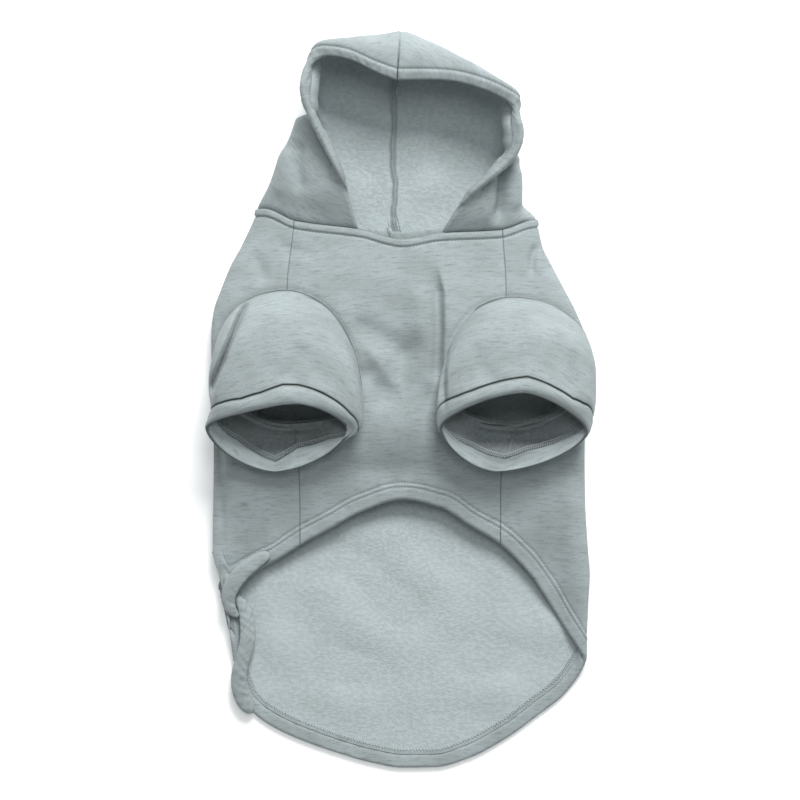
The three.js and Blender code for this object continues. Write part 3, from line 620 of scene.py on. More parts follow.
FOLDS = (
    # the long crease beside the right sleeve, where the right half lies a little over the left
    Fold(FoldKind.STEP, ((26.0, 104.0), (31.5, 80.0), (32.0, 50.0), (30.5, 20.0), (29.0, -6.0)), 4.2, 3.6),
    Fold(FoldKind.VALLEY, ((22.0, 100.0), (27.0, 80.0), (28.0, 50.0), (26.5, 20.0), (26.0, -2.0)), 4.0, 6.5),
    # soft dents of the loose chest between the sleeves
    Fold(FoldKind.VALLEY, ((-4.0, 92.0), (-8.0, 60.0), (-8.0, 30.0), (-4.0, 0.0), (2.0, -30.0)), 4.0, 40.0),
    Fold(FoldKind.VALLEY, ((-38.0, 60.0), (-24.0, 52.0), (-6.0, 42.0), (12.0, 26.0)), 3.8, 14.0),
    Fold(FoldKind.VALLEY, ((14.0, 58.0), (8.0, 40.0), (-2.0, 20.0), (-16.0, -6.0)), 3.0, 15.0),
    Fold(FoldKind.VALLEY, ((-30.0, 28.0), (-18.0, 8.0), (-8.0, -10.0)), 2.6, 12.0),
    Fold(FoldKind.RIDGE, ((-32.0, 46.0), (-14.0, 26.0), (0.0, 4.0)), 2.0, 9.0),
    Fold(FoldKind.RIDGE, ((12.0, 88.0), (15.0, 60.0), (14.0, 34.0)), 1.6, 12.0),
    Fold(FoldKind.VALLEY, ((24.0, 14.0), (22.0, -10.0), (28.0, -34.0)), 2.6, 12.0),
    # the slanting creases of the shoulders
    Fold(FoldKind.VALLEY, ((101.5, 118.0), (98.0, 104.0), (97.0, 90.0)), 3.0, 4.5),
    Fold(FoldKind.RIDGE, ((106.0, 112.0), (103.5, 102.0), (101.5, 92.0)), 1.4, 6.0),
    Fold(FoldKind.VALLEY, ((-96.0, 122.0), (-84.0, 112.0), (-60.0, 106.0)), 1.4, 8.0),
    Fold(FoldKind.VALLEY, ((-112.0, 112.0), (-104.0, 98.0), (-98.0, 84.0)), 1.6, 9.0),
    Fold(FoldKind.VALLEY, ((-80.0, -62.0), (-30.0, -52.0), (20.0, -52.0), (80.0, -62.0)), 1.8, 18.0),
    # the crumpled corner where the belly hem meets the left flank
    Fold(FoldKind.RIDGE, ((-131.5, -130.0), (-127.0, -140.0), (-121.5, -150.0)), 3.4, 6.0),
    Fold(FoldKind.VALLEY, ((-133.0, -137.0), (-129.5, -146.0), (-125.5, -153.0), (-120.5, -164.0)), 4.4, 4.0),
    Fold(FoldKind.RIDGE, ((-124.0, -156.0), (-119.0, -166.0), (-114.5, -176.0), (-115.0, -192.0)), 2.6, 9.0),
    Fold(
        FoldKind.VALLEY,
        ((-126.0, -158.0), (-122.5, -166.0), (-121.0, -178.0), (-122.5, -186.0), (-128.0, -204.0)),
        2.4, 5.0,
    ),
    Fold(FoldKind.VALLEY, ((-123.0, -216.0), (-121.0, -224.0), (-116.0, -234.0)), 1.8, 3.0),
)
SLEEVE_FOLDS = {
    "left": (
        # the sharp fold along the outer edge of the sleeve, the groove at its foot, and the loose
        # cloth that rises again beyond it
        Fold(
            FoldKind.STEP,
            ((-106.0, 86.0), (-112.6, 68.8), (-126.0, 36.0), (-139.4, 1.9), (-150.0, -26.0)), 7.0, 2.6,
        ),
        Fold(
            FoldKind.VALLEY,
            ((-107.0, 88.0), (-115.4, 70.0), (-128.8, 37.2), (-142.0, 3.0), (-152.5, -24.0)), 9.0, 3.6,
        ),
        Fold(
            FoldKind.RIDGE,
            ((-112.0, 90.0), (-121.4, 72.2), (-135.0, 39.6), (-148.0, 5.3), (-158.0, -22.0)), 5.0, 8.0,
        ),
        Fold(FoldKind.VALLEY, ((-70.0, 44.0), (-78.0, 22.0), (-86.0, 4.0)), 1.6, 10.0),
        Fold(FoldKind.VALLEY, ((-100.0, 14.0), (-84.0, 18.0), (-66.0, 10.0)), 1.2, 9.0),
    ),
    "right": (
        Fold(FoldKind.DROP, ((39.0, 66.0), (36.0, 46.0), (34.5, 20.0), (33.0, -10.0)), 6.0, 3.0),
        Fold(FoldKind.VALLEY, ((118.0, 54.0), (122.0, 30.0), (128.0, 8.0)), 2.2, 9.0),
        Fold(FoldKind.VALLEY, ((52.0, 46.0), (60.0, 26.0), (70.0, 12.0)), 1.4, 10.0),
    ),
}
HOOD_FOLDS = {
    "left": (
        Fold(FoldKind.VALLEY, ((-74.0, 196.0), (-77.0, 172.0), (-73.0, 150.0)), 3.0, 9.0),
        Fold(FoldKind.RIDGE, ((-84.0, 190.0), (-88.0, 168.0), (-92.0, 148.0)), 1.4, 10.0),
    ),
    "right": (
        Fold(FoldKind.VALLEY, ((78.0, 182.0), (77.0, 162.0), (75.0, 144.0), (71.0, 128.0)), 7.0, 7.0),
        Fold(FoldKind.RIDGE, ((87.0, 176.0), (87.0, 158.0), (85.0, 138.0)), 2.0, 8.0),
    ),
}


@dataclass
class Grid:
    """A panel's outer and inner face, as columns of points across and rows along.

    Args:
        outer: points of the outer face.
        inner: points of the inner face.
        cloth: flat place of each point on the cloth.
        looped: whether the last column joins the first.
        facing: how far in from its last row the inner face is turned-in jersey.
        end: distance of each point from the last row, measured square to the hem.
        start: distance of each point from the first row.
        seam: how much painted shade each point gets, most in the groove of a seam.
        hole: True for each cell that is cut out.
    """

    outer: np.ndarray
    inner: np.ndarray
    cloth: np.ndarray
    looped: bool = False
    facing: float = 0.0
    end: np.ndarray = field(default_factory=lambda: np.zeros(0))
    start: np.ndarray = field(default_factory=lambda: np.zeros(0))
    seam: np.ndarray = field(default_factory=lambda: np.zeros(0))
    hole: np.ndarray | None = None

    def faces(self) -> tuple[np.ndarray, np.ndarray]:
        """The faces of the closed shell and which of them show the brushed side.

        Returns:
            Rows of four point numbers, and 1 for each face on the brushed side.
        """
        columns, rows = self.outer.shape[:2]
        half = columns * rows
        cells = columns if self.looped else columns - 1
        i, j = np.meshgrid(np.arange(cells), np.arange(rows - 1), indexing="ij")
        after = (i + 1) % columns
        kept = np.ones(i.shape, bool) if self.hole is None else ~self.hole
        corner = [i * rows + j, i * rows + j + 1, after * rows + j + 1, after * rows + j]
        quads = np.stack(corner, axis=-1)
        outer = quads[kept]
        inner = quads[kept][:, ::-1] + half
        brushed = (self.end[i, j] > self.facing)[kept]
        sides = []
        padded = np.zeros((cells + 2, rows + 1), bool)
        padded[1:-1, 1:-1] = kept
        if self.looped:
            padded[0], padded[-1] = padded[-2], padded[1]
        for di, dj, a, b in ((0, -1, 3, 0), (0, 1, 1, 2), (-1, 0, 0, 1), (1, 0, 2, 3)):
            beside = padded[1 + di:cells + 1 + di, 1 + dj:rows + dj]
            open_side = quads[kept & ~beside]
            first, second = open_side[:, a], open_side[:, b]
            sides.append(np.stack([second, first, first + half, second + half], axis=-1))
        sides = np.concatenate(sides)
        marks = np.concatenate([np.zeros(len(outer), int), brushed.astype(int), np.zeros(len(sides), int)])
        return np.concatenate([outer, inner, sides]), marks

    def line(
        self, distance: float, inner: bool = False, lift: float = 0.0, from_start: bool = False
    ) -> tuple[np.ndarray, np.ndarray]:
        """A line along the cloth at a distance from its last row, or from its first.

        Args:
            distance: how far in the line runs.
            inner: whether it runs on the inner face.
            lift: how far it stands off the cloth.
            from_start: whether the distance is from the first row.

        Returns:
            Its points and the directions away from the cloth.
        """
        face = self.inner if inner else self.outer
        back = self.outer if inner else self.inner
        measure = self.start if from_start else self.end
        points, away = [], []
        for row, other, far in zip(face, back, measure):
            order = np.argsort(far)
            here = np.array([np.interp(distance, far[order], row[order, k]) for k in range(3)])
            there = np.array([np.interp(distance, far[order], other[order, k]) for k in range(3)])
            points.append(here)
            away.append(here - there)
        if self.looped:
            points.append(points[0])
            away.append(away[0])
        found, directions = np.array(points), unit(np.array(away))
        return found + directions * lift, directions


def normals_of(points: np.ndarray, looped: bool = False) -> np.ndarray:
    """Directions square to a grid of points.

    Args:
        points: columns and rows of points.
        looped: whether the last column joins the first.

    Returns:
        A direction for each point, pointing to the side that the grid's turn gives.
    """
    if looped:
        across = np.roll(points, -1, axis=0) - np.roll(points, 1, axis=0)
    else:
        across = np.gradient(points, axis=0)
    along = np.gradient(points, axis=1)
    return unit(np.cross(along, across))


def rounded(distance: np.ndarray, radius: float) -> np.ndarray:
    """How much of the wall is left near a rounded edge.

    Args:
        distance: distance from the edge.
        radius: radius of the rounding.

    Returns:
        1 inside the panel, down a quarter circle to a sliver at the edge.
    """
    inside = np.clip(distance / radius, 0, 1)
    return np.maximum(0.06, np.sqrt(1 - (1 - inside) ** 2))


def walled(
    outer: np.ndarray, inner: np.ndarray, left: np.ndarray
) -> tuple[np.ndarray, np.ndarray]:
    """Draws both faces of a wall in to its middle by the share of it that is left."""
    middle, half = (outer + inner) / 2, (outer - inner) / 2
    return middle + half * left[..., None], middle - half * left[..., None]


def outward(points: np.ndarray, looped: bool = False) -> tuple[np.ndarray, bool]:
    """Outward directions of a panel's outer face.

    Args:
        points: columns and rows of points.
        looped: whether the last column joins the first.

    Returns:
        The directions, and whether the grid's own turn points inwards.
    """
    normals = normals_of(points, looped)
    middle = points.reshape(-1, 3).mean(axis=0) if not looped else points.mean(axis=0)[None]
    flipped = bool(np.sum(normals * (points - middle)) < 0)
    return (-normals if flipped else normals), flipped


class BodyPanel:
    """The belly panel or the back panel of the body."""

    def __init__(self, belly: bool, columns: int, rows: int, facing: float) -> None:
        """Works out the panel's cloth.

        Args:
            belly: whether it is the belly panel.
            columns: how many columns it has on each side of its middle.
            rows: how many rows it has between the neck and the hem.
            facing: depth of the turned-in jersey.
        """
        self.belly = belly
        half_length = BELLY_HALF_ACROSS if belly else BACK_HALF_ACROSS
        edge = EDGE_AT / half_length
        inside = np.linspace(edge[-1], 1, columns)[1:]
        from_seam = np.concatenate([edge, inside])
        right = [("right", s) for s in from_seam]
        if not belly:
            low, high = CORNER_SHARES
            corner = np.linspace(low, high, CORNER_COLUMNS)
            from_seam = np.concatenate([from_seam[from_seam < low], corner, from_seam[from_seam > high]])
        left = [("left", s) for s in from_seam[::-1][1:]]
        # the belly runs from the right seam to the left over the belly, the back under the back
        self.places = right + left
        self.grid = self._grid(rows, half_length, facing)

    def _round(self, side: str, share: np.ndarray, y: np.ndarray) -> np.ndarray:
        """Share of the way round the body for a column, counted from the side seam."""
        seam = BODY.seam(side, y)
        if self.belly:
            return seam * (1 - share)
        return seam + (1 - seam) * share

    def _column(self, side: str, share: float, rows: int) -> tuple[np.ndarray, np.ndarray]:
        """One column from the neck seam to the hem, and its place along the hoodie."""
        top, bottom = np.array(NECK_Y), np.array(NECK_Y - BODY_LENGTH / 2)
        for _ in range(8):
            top = neck_y(side, self._round(side, share, top))
            bottom = hem_y(side, self._round(side, share, bottom))
        place = self._round(side, share, bottom)
        step = 0.01
        drop = hem_y(side, place + step) - hem_y(side, place - step)
        run = BODY.total(side, bottom) * 2 * step
        slant = min(math.hypot(1, float(drop / run)), float(top - bottom) / 4 / HEM_DEPTH)
        low = bottom + HEM_ROWS_AT * slant
        high = top - NECK_ROWS_AT
        between = np.linspace(high[-1], low[0], rows + 2)[1:-1]
        y = np.concatenate([high, between, low])
        ends = np.concatenate([(y[:-len(HEM_ROWS_AT)] - bottom) / slant, HEM_ROWS_AT])
        return y, ends

    def _grid(self, rows: int, half_length: float, facing: float) -> Grid:
        """The panel's two faces."""
        ys, points, ends, cloth, seam_far = [], [], [], [], []
        for side, share in self.places:
            y, end = self._column(side, share, rows)
            place = self._round(side, share, y)
            points.append(BODY.point(side, place, y))
            ys.append(y)
            ends.append(end)
            seam_far.append(share * half_length)
            around = place * BODY.total(side, y)
            across = around if self.belly else BODY.total(side, y) - around
            cloth.append(np.stack([SIDES[side] * across, y], axis=-1))
        outer = np.array(points)
        self.ends = np.array(ends)
        top = outer[:, :1, 1] * 0 + np.array([y[0] - y for y in ys])
        seam_far = np.array(seam_far)[:, None]
        normals, self.flipped = outward(outer)
        upward = smooth((normals[..., 2] - 0.05) / 0.5)
        plan = outer[..., :2] + ORIGIN_SHIFT[:2]
        rise = sum(fold.height(plan) for fold in FOLDS)
        rise = rise + 1.0 * ripples(plan, 62.0, seed=3) * smooth((self.ends - 4) / 30) * smooth(top / 25)
        outer[..., 2] += rise * upward
        sag = smooth((70 - self.ends) / 70) * smooth((150 - np.abs(plan[..., 0])) / 35)
        outer[..., 2] -= HEM_SAG * sag * upward * smooth((outer[..., 2] - 8) / 12)
        for sleeve in SLEEVES.values():
            outer[..., 2] -= sleeve.floor_dent(plan) * upward * 0.9
        floor = smooth((-normals[..., 2] - 0.5) / 0.4)
        inside = smooth(self.ends / 40)
        outer[..., 2] += floor * inside * 1.4 * np.maximum(0, 0.35 + ripples(plan, 55.0, seed=8))
        along = self._along(outer)
        pucker = ripples(np.stack([along, self.ends * 0.15], axis=-1), 7.5, seed=21)
        hem_part = smooth((14.0 - self.ends) / 3) * smooth(self.ends / 3)
        shape = (
            0.9 * smooth((TOPSTITCH_AT - top) / 1.2) * smooth(top / 1.0)
            - 0.75 * bump(top - TOPSTITCH_AT, 1.7)
            + 0.5 * hem_part
            + 0.24 * pucker * hem_part
            - 0.25 * bump(seam_far, 3.0)
        )
        for at in TWIN_ROWS_AT:
            shape = shape - 0.55 * bump(self.ends - at, 1.5)
        for name in SIDES:
            shape = shape - 1.0 * bump(SLEEVES[name].from_armhole(outer), 3.4) * upward
        normals, self.flipped = outward(outer)
        turned = np.maximum(
            1 - smooth((self.ends - facing) / 0.8),
            1 - smooth((top - NECK_ALLOWANCE) / 1.0),
        )
        wall = WALL + (TURNED_WALL - WALL) * turned + 0.3 * pucker * hem_part
        for at in TWIN_ROWS_AT:
            wall = wall - 0.6 * bump(self.ends - at, 1.5)
        inner = outer - normals * wall[..., None]
        outer = outer + normals * shape[..., None]
        left = rounded(seam_far, SIDE_ROUNDING) * rounded(top, NECK_ROUNDING)
        left = left * rounded(self.ends, HEM_ROUNDING)
        outer, inner = walled(outer, inner, left)
        outer[..., 2] = np.maximum(outer[..., 2], 0.02)
        # painted shade: colour darkened along the side seams and in the neck seam's groove
        seam = np.maximum(0.2 * bump(seam_far, 1.0), 0.9 * bump(top + 0.3, 1.6)) * np.ones_like(top)
        grid = Grid(outer, inner, np.array(cloth), facing=facing, end=self.ends, start=top, seam=seam)
        grid.hole = self._cut_armholes(grid)
        return grid

    def _along(self, outer: np.ndarray) -> np.ndarray:
        """Distance of each column along the hem."""
        return np.broadcast_to(lengths_along(outer[:, -1])[:, None], outer.shape[:2])

    def _cut_armholes(self, grid: Grid) -> np.ndarray:
        """Cuts the armholes and draws the cloth beside them to their edge.

        Args:
            grid: the panel's faces, which are changed.

        Returns:
            True for each cell that is cut out.
        """
        middle = (grid.outer[:-1, :-1] + grid.outer[1:, 1:]) / 2
        hole = np.zeros(middle.shape[:2], bool)
        for sleeve in SLEEVES.values():
            inside = sleeve.from_armhole(middle, signed=True) < ARMHOLE_EDGE
            cut = inside & (middle[..., 2] > ARMHOLE_CUT_ABOVE)
            hole |= cut
            around = np.zeros((cut.shape[0] + 2, cut.shape[1] + 2), bool)
            around[1:-1, 1:-1] = cut
            corners = np.stack([around[1:, 1:], around[1:, :-1], around[:-1, 1:], around[:-1, :-1]])
            on_edge = corners.any(axis=0) & ~corners.all(axis=0)
            here = grid.outer[on_edge]
            step = 0.2
            far = sleeve.from_armhole(here, signed=True)
            slope = np.stack([
                sleeve.from_armhole(here + np.array([step, 0, 0]), signed=True) - far,
                sleeve.from_armhole(here + np.array([0, step, 0]), signed=True) - far,
            ], axis=-1) / step
            move = unit(slope) * np.clip(ARMHOLE_EDGE - far, -1.8, 1.8)[:, None]
            grid.outer[on_edge, :2] += move
            grid.inner[on_edge, :2] += move
        return hole


class Sleeve:
    """The shape of one sleeve and its cuff, from the armhole to the mouth."""

    def __init__(self, side: str) -> None:
        """Works out the armhole's edge.

        Args:
            side: left or right.
        """
        self.side, self.rows = side, SLEEVE_ROWS[side]
        self.armhole = self.ring(np.array([0.0]), 0.0, ARMHOLE_POINTS)[0][:, :2]

    def corner(self, name: str, share: np.ndarray) -> np.ndarray:
        """One of the four lines along the sleeve.

        Args:
            name: out, top, in or under.
            share: shares of the way from the armhole to the mouth.

        Returns:
            The points.
        """
        x, y, z = (self.rows.even(name + axis, share) for axis in "XYZ")
        return np.stack([
            SIDES[self.side] * (SLEEVE_OUT + HALF_SLEEVE * x),
            along_y(ARMHOLE_TOP_Y) - SLEEVE_LENGTH * y,
            SLEEVE_HEIGHT * z,
        ], axis=-1)

    def corners(self, share: np.ndarray, wall: float) -> list[np.ndarray]:
        """The four lines, moved in by a wall."""
        names = ("out", "top", "in", "under")
        lines = [self.corner(name, share) for name in names]
        middle = sum(lines) / 4
        for k, name in enumerate(names):
            if k % 2 == 0:
                lines[k][:, 0] += wall * np.sign(middle[:, 0] - lines[k][:, 0])
                continue
            step = 0.02
            before = self.corner(name, np.clip(share - step, 0, 1))
            after = self.corner(name, np.clip(share + step, 0, 1))
            line = after - before
            square = unit(np.stack([0 * share, -line[:, 2], line[:, 1]], axis=-1))
            turn = np.sign(np.sum(square * (middle - lines[k]), axis=-1, keepdims=True))
            lines[k] = lines[k] + square * wall * turn
        return lines

    def ring(self, share: np.ndarray, wall: float, count: int) -> np.ndarray:
        """Rings of points at shares of the sleeve.

        Args:
            share: where the rings are.
            wall: how far they are moved in.
            count: points in each ring.

        Returns:
            The rings.
        """
        lines = np.stack(self.corners(share, wall), axis=1)
        power = (1 / self.rows.even("full", share))[:, None]
        place = 4 * np.arange(count) / count
        quarter = np.floor(place).astype(int)
        angle = (place - quarter)[None, :] * math.pi / 2
        grow = np.sin(angle) ** power
        fade = 1 - np.cos(angle) ** power
        odd = (quarter % 2 == 1)[None, :]
        sideways, upward = np.where(odd, grow, fade), np.where(odd, fade, grow)
        a, b = lines[:, quarter], lines[:, (quarter + 1) % 4]
        return np.stack([
            a[..., 0] + (b[..., 0] - a[..., 0]) * sideways,
            a[..., 1] + (b[..., 1] - a[..., 1]) * upward,
            a[..., 2] + (b[..., 2] - a[..., 2]) * upward,
        ], axis=-1)

    def seated(self, share: np.ndarray, wall: float, count: int) -> np.ndarray:
        """Rings laid on the body, sunk below its face at the armhole."""
        ring, face = self.ring(share, wall, count), self.ring(share, 0.0, count)
        lift = BODY.top(face[..., 0], face[..., 1]) + SLEEVE_SEAT_GAP - face[..., 2]
        ring[..., 2] += np.maximum(0, lift)
        ring[..., 2] -= ARMHOLE_SINK * (1 - smooth(share / 0.02))[:, None]
        return ring

    def floor_dent(self, plan: np.ndarray) -> np.ndarray:
        """How far the belly sinks under the sleeve's mouth, at points in plan."""
        x, y, half_width, half_length = DENTS[self.side]
        across = np.abs(plan[..., 0] - x) / half_width
        along = np.abs(plan[..., 1] - y) / half_length
        return DENT_DEPTH * smooth((1.25 - across) / 0.7) * smooth((1.3 - along) / 0.8)

    def from_armhole(self, points: np.ndarray, signed: bool = False) -> np.ndarray:
        """Distance in plan from the armhole's edge.

        Args:
            points: the points.
            signed: whether points inside the armhole count below zero.

        Returns:
            The distances.
        """
        edge = self.armhole
        after = np.roll(edge, -1, axis=0)
        flat = points[..., :2].reshape(-1, 2)
        near = np.full(len(flat), 1e9)
        inside = np.zeros(len(flat), bool)
        for a, b in zip(edge, after):
            line = b - a
            away = flat - a
            t = np.clip(away @ line / max(line @ line, 1e-9), 0, 1)
            near = np.minimum(near, np.linalg.norm(away - t[:, None] * line, axis=1))
            crosses = (a[1] > flat[:, 1]) != (b[1] > flat[:, 1])
            rise = line[1] if abs(line[1]) > 1e-9 else 1e-9
            inside ^= crosses & (flat[:, 0] < a[0] + (flat[:, 1] - a[1]) / rise * line[0])
        if signed:
            near = np.where(inside, -near, near)
        return near.reshape(points.shape[:-1])

    def tube(
        self,
        shares: np.ndarray,
        wall: float,
        ends: tuple[float, float],
        puff: float,
        seed: int,
        at_armhole: bool,
    ) -> tuple[Grid, bool]:
        """A tube of cloth between the first and the last share.

        Args:
            shares: where its rings are.
            wall: its wall.
            ends: radius of the rounding at each end.
            puff: how far it swells between its ends.
            seed: sets its soft unevenness.
            at_armhole: whether its first ring is sewn into the armhole.

        Returns:
            The tube's grid, and whether its own turn points inwards.
        """
        count = RING_POINTS
        outer = self.seated(shares, 0.0, count).transpose(1, 0, 2)
        inner = self.seated(shares, wall, count).transpose(1, 0, 2)
        steps = np.linalg.norm(np.diff(outer, axis=1), axis=-1)
        far = np.concatenate([np.zeros((count, 1)), np.cumsum(steps, axis=1)], axis=1)
        left_over = far[:, -1:] - far
        normals, flipped = outward(outer, looped=True)
        swell = puff * smooth(far / 4) * smooth(left_over / 4)
        uneven = ripples(outer, 34.0, seed) * 0.7 + ripples(outer, 13.0, seed + 1) * 0.16
        swell = swell + uneven * smooth(far / 10) * smooth(left_over / 6)
        swell = np.where(outer[..., 2] < BODY.top(outer[..., 0], outer[..., 1]) + 2.0,
                         np.maximum(swell, 0), swell)
        plan = outer[..., :2] + ORIGIN_SHIFT[:2]
        # how high each point lies between the ring's two corners and its top, and its underside
        corner, top, inner_corner, under = (outer[count * k // 4, :, 2] for k in range(4))
        x = outer[..., 0]
        share_in = (x - x[:1]) / (x[count // 2] - x[0])
        middle = corner + (inner_corner - corner) * share_in
        above = (outer[..., 2] - middle) / np.maximum(top - middle, 1)
        below = (middle - outer[..., 2]) / np.maximum(middle - under, 1)
        rise = sum(fold.height(plan) for fold in SLEEVE_FOLDS[self.side])
        rise = rise * smooth(above / 0.45)
        if at_armhole:
            rise = rise * smooth((far - 5) / 11)
        rise = rise + LIP_LIFT * smooth((shares - 0.55) / 0.35) * smooth(above)
        rise = rise - self.floor_dent(plan) * smooth(below) * smooth((1.0 - shares) / 0.2)
        if at_armhole:
            rise = rise * smooth((far - 5) / 9)
        move = normals * swell[..., None]
        move[..., 2] += rise
        pulled = smooth((shares - 0.35) / 0.4) * (1 - 0.75 * smooth((shares - CUFF_SEAM - 0.02) / 0.23))
        sag = np.interp(x, *np.array(SEAM_SAGS[self.side]).T)
        move[..., 1] -= sag * smooth(above / 0.5) * pulled
        notched = smooth((shares - 0.55) / 0.2) * smooth((0.99 - shares) / 0.14)
        notch = np.interp(x, *np.array(INNER_NOTCHES[self.side]).T)
        move[..., 1] += notch * smooth(below / 0.5) * notched
        outer, inner = outer + move, inner + move
        left = rounded(far, ends[0]) * rounded(left_over, ends[1])
        outer, inner = walled(outer, inner, left)
        around = np.linalg.norm(np.diff(outer, axis=0, append=outer[:1]), axis=-1).mean(axis=1)
        cloth = np.stack(
            [np.broadcast_to(np.cumsum(around)[:, None], far.shape), left_over], axis=-1
        )
        # painted shade: colour darkened in the seams' grooves at both ends of the tube, and over a sleeve's
        # first millimetres out of the armhole
        seam = np.maximum(bump(far, 1.5), bump(left_over, 1.1))
        if at_armhole:
            seam = np.maximum(1 - smooth((far - 6.6) / 1.3), seam)
        facing = -1.0 if at_armhole else 1e3
        return Grid(
            outer, inner, cloth, looped=True, facing=facing, end=left_over, start=far, seam=seam
        ), flipped


SLEEVES = {side: Sleeve(side) for side in SIDES}


class HoodHalf:
    """One half of the hood, from the neck seam round to the crown seam."""

    def __init__(self, side: str) -> None:
        """Works out the half's cloth.

        Args:
            side: left or right.
        """
        self.side = side
        self.grid, self.flipped = self._grid(columns=150, rows=84)

    @staticmethod
    def profile(side: str, share: np.ndarray) -> np.ndarray:
        """Sections of the hood's outer face at shares of the way from neck to crown."""
        rows, sign = HOOD_ROWS[side], SIDES[side]
        read = {name: rows.even(name, share) for name in HOOD_COLUMNS.split()}
        nought = np.zeros_like(share)
        rise, fall = FLARE_RISE, FLARE_FALL
        flare = smooth((share - rise[0]) / rise[1]) * smooth((fall[0] - share) / fall[1])
        turn = smooth((share - FLARE_TURN_AT[0]) / (FLARE_TURN_AT[1] - FLARE_TURN_AT[0]))
        angle = np.radians(FLARE_ANGLES[0] + (FLARE_ANGLES[1] - FLARE_ANGLES[0]) * turn)
        pull = FLARE_PULLS[0] + (FLARE_PULLS[1] - FLARE_PULLS[0]) * turn
        own = smooth((share - FLARE_BLEND[0]) / FLARE_BLEND[1])
        read["lean"] = read["lean"] * (1 - own) + pull * np.cos(angle) / HOOD_WIDTH * own
        read["lift"] = read["lift"] * (1 - own) + pull * np.sin(angle) / HOOD_HEIGHT * own
        spine_x = nought + HALF_HOOD * HOOD_SPINE_X + sign * HALF_CROWN_GAP
        start = float(neck_y(side, 1.0))
        spine_y = start + (NECK_Y + HOOD_LENGTH * HOOD_SPINE_END - start) * share
        side_height = nought + HOOD_HEIGHT * HOOD_SIDE_HEIGHT
        rim_height = HOOD_HEIGHT * read["height"]
        spine = np.stack([spine_x, spine_y, nought], axis=1)
        outline = np.stack([
            sign * HALF_HOOD * read["outX"], NECK_Y + HOOD_LENGTH * read["outY"], nought,
        ], axis=1)
        outline = outline - unit(outline - spine) * (FLARE_TUCK * flare)[:, None]
        return WallProfile(
            spine=spine,
            outline=outline,
            rim=np.stack([
                sign * HALF_HOOD * read["rimX"], NECK_Y + HOOD_LENGTH * read["rimY"], rim_height,
            ], axis=1),
            side_height=side_height,
            rise=(rim_height - side_height) * WALL_RISE,
            lean=HOOD_WIDTH * read["lean"],
            lift=HOOD_HEIGHT * read["lift"],
        ).points()

    def _shares(self, total: float, rows: int) -> np.ndarray:
        """Rows of a section, as shares of its length, with the hem's rows at their distance."""
        hem = 1 - HOOD_HEM_ROWS_AT / total
        start = EDGE_AT / total
        between = np.linspace(start[-1], hem[0], rows + 2)[1:-1]
        return np.concatenate([start, between, hem])

    def _grid(self, columns: int, rows: int) -> tuple[Grid, bool]:
        """The half's two faces."""
        edge = EDGE_AT / HOOD_RIM_LENGTH
        share = np.concatenate([edge, np.linspace(edge[-1], 1 - edge[-1], columns)[1:-1], 1 - edge[::-1]])
        sections = self.profile(self.side, share)
        _, totals = by_length(sections, np.array([0.0, 1.0]))
        shares = np.stack([self._shares(total, rows) for total in totals])
        outer, _ = by_length(sections, shares)
        neck_section = self.profile(self.side, np.array([0.0]))
        first, _ = by_length(np.repeat(neck_section, len(share), axis=0), shares)
        round_share = 1 + (HOOD_FRONT_ROUND - 1) * shares
        neck = BODY.point(self.side, round_share, neck_y(self.side, round_share))
        hold = (1 - smooth(share / NECK_BLEND))[:, None, None]
        outer = outer + (neck - first) * hold
        under = (1 - smooth(share / 0.03))[:, None]
        outer[..., 1] -= 0.9 * under
        outer[..., 2] -= 1.1 * under * smooth(outer[..., 2] / 8)
        seam = self._crown(shares[-1])
        near_crown = smooth((share - 0.9) / 0.1)[:, None, None]
        outer = outer + (seam - outer[-1])[None] * near_crown
        outer[..., 0] += SIDES[self.side] * HALF_CROWN_GAP * near_crown[..., 0]
        outer[..., 2] = np.maximum(outer[..., 2], 0.0)
        end = (1 - shares) * totals[:, None]
        from_spine = shares * totals[:, None]
        steps = np.linalg.norm(np.diff(outer, axis=0), axis=-1)
        far = np.concatenate([np.zeros((1, outer.shape[1])), np.cumsum(steps, axis=0)])
        to_crown = far[-1:] - far
        normals, flipped = outward(outer)
        normals = np.where(outer[..., 2:] < 1e-3, [0.0, 0.0, -1.0], normals)
        floor = smooth((-normals[..., 2] - 0.5) / 0.4)
        bend = 0.9 * ripples(outer, 46.0, seed=31) * (1 - floor) * smooth(end / 24) * smooth(far / 14)
        for fold in HOOD_FOLDS[self.side]:
            plan = outer[..., :2] + ORIGIN_SHIFT[:2]
            bend = bend + fold.height(plan) * (1 - floor) * smooth((end - 6) / 16)
        outer = outer + normals * bend[..., None]
        front = smooth((share[:, None] - 0.1) / 0.15)
        hem_part = smooth((HOOD_STITCH - end) / 2.0) * smooth(end / 2)
        pucker = ripples(np.stack([far, end * 0.15], axis=-1), 7.0, seed=37)
        shape = front * ((0.7 + 0.35 * pucker) * hem_part - 0.8 * bump(end - HOOD_STITCH, 1.7))
        shape = shape - 0.5 * bump(to_crown, 3.0) - 0.6 * bump(far, 3.0) * (1 - floor)
        shape = shape - 1.6 * bump(to_crown, 7.0) * smooth((end - 26) / 14)
        base = outer
        outer = outer + normals * shape[..., None]
        lifted = np.maximum(0, 0.3 + ripples(outer[..., :2], 44.0, seed=35))
        outer[..., 2] += floor * smooth(far / 12) * 1.2 * lifted
        turned = 1 - smooth((end - HOOD_FACING) / 0.8)
        wall = WALL + (TURNED_WALL - WALL) * turned - 0.9 * bump(end - HOOD_STITCH, 2.0)
        wall = wall + (0.7 + 0.3 * pucker) * hem_part
        inner = base - normals * wall[..., None]
        inner[..., 2] += (outer - base)[..., 2] * floor
        left = rounded(from_spine, SIDE_ROUNDING) * rounded(far, SIDE_ROUNDING)
        left = left * rounded(to_crown, SIDE_ROUNDING) * rounded(end, HEM_ROUNDING)
        outer, inner = walled(outer, inner, left)
        outer[..., 2] = np.maximum(outer[..., 2], 0.02)
        start = sections[:, 0, :2]
        heading = unit(sections[:, 60, :2] - start)
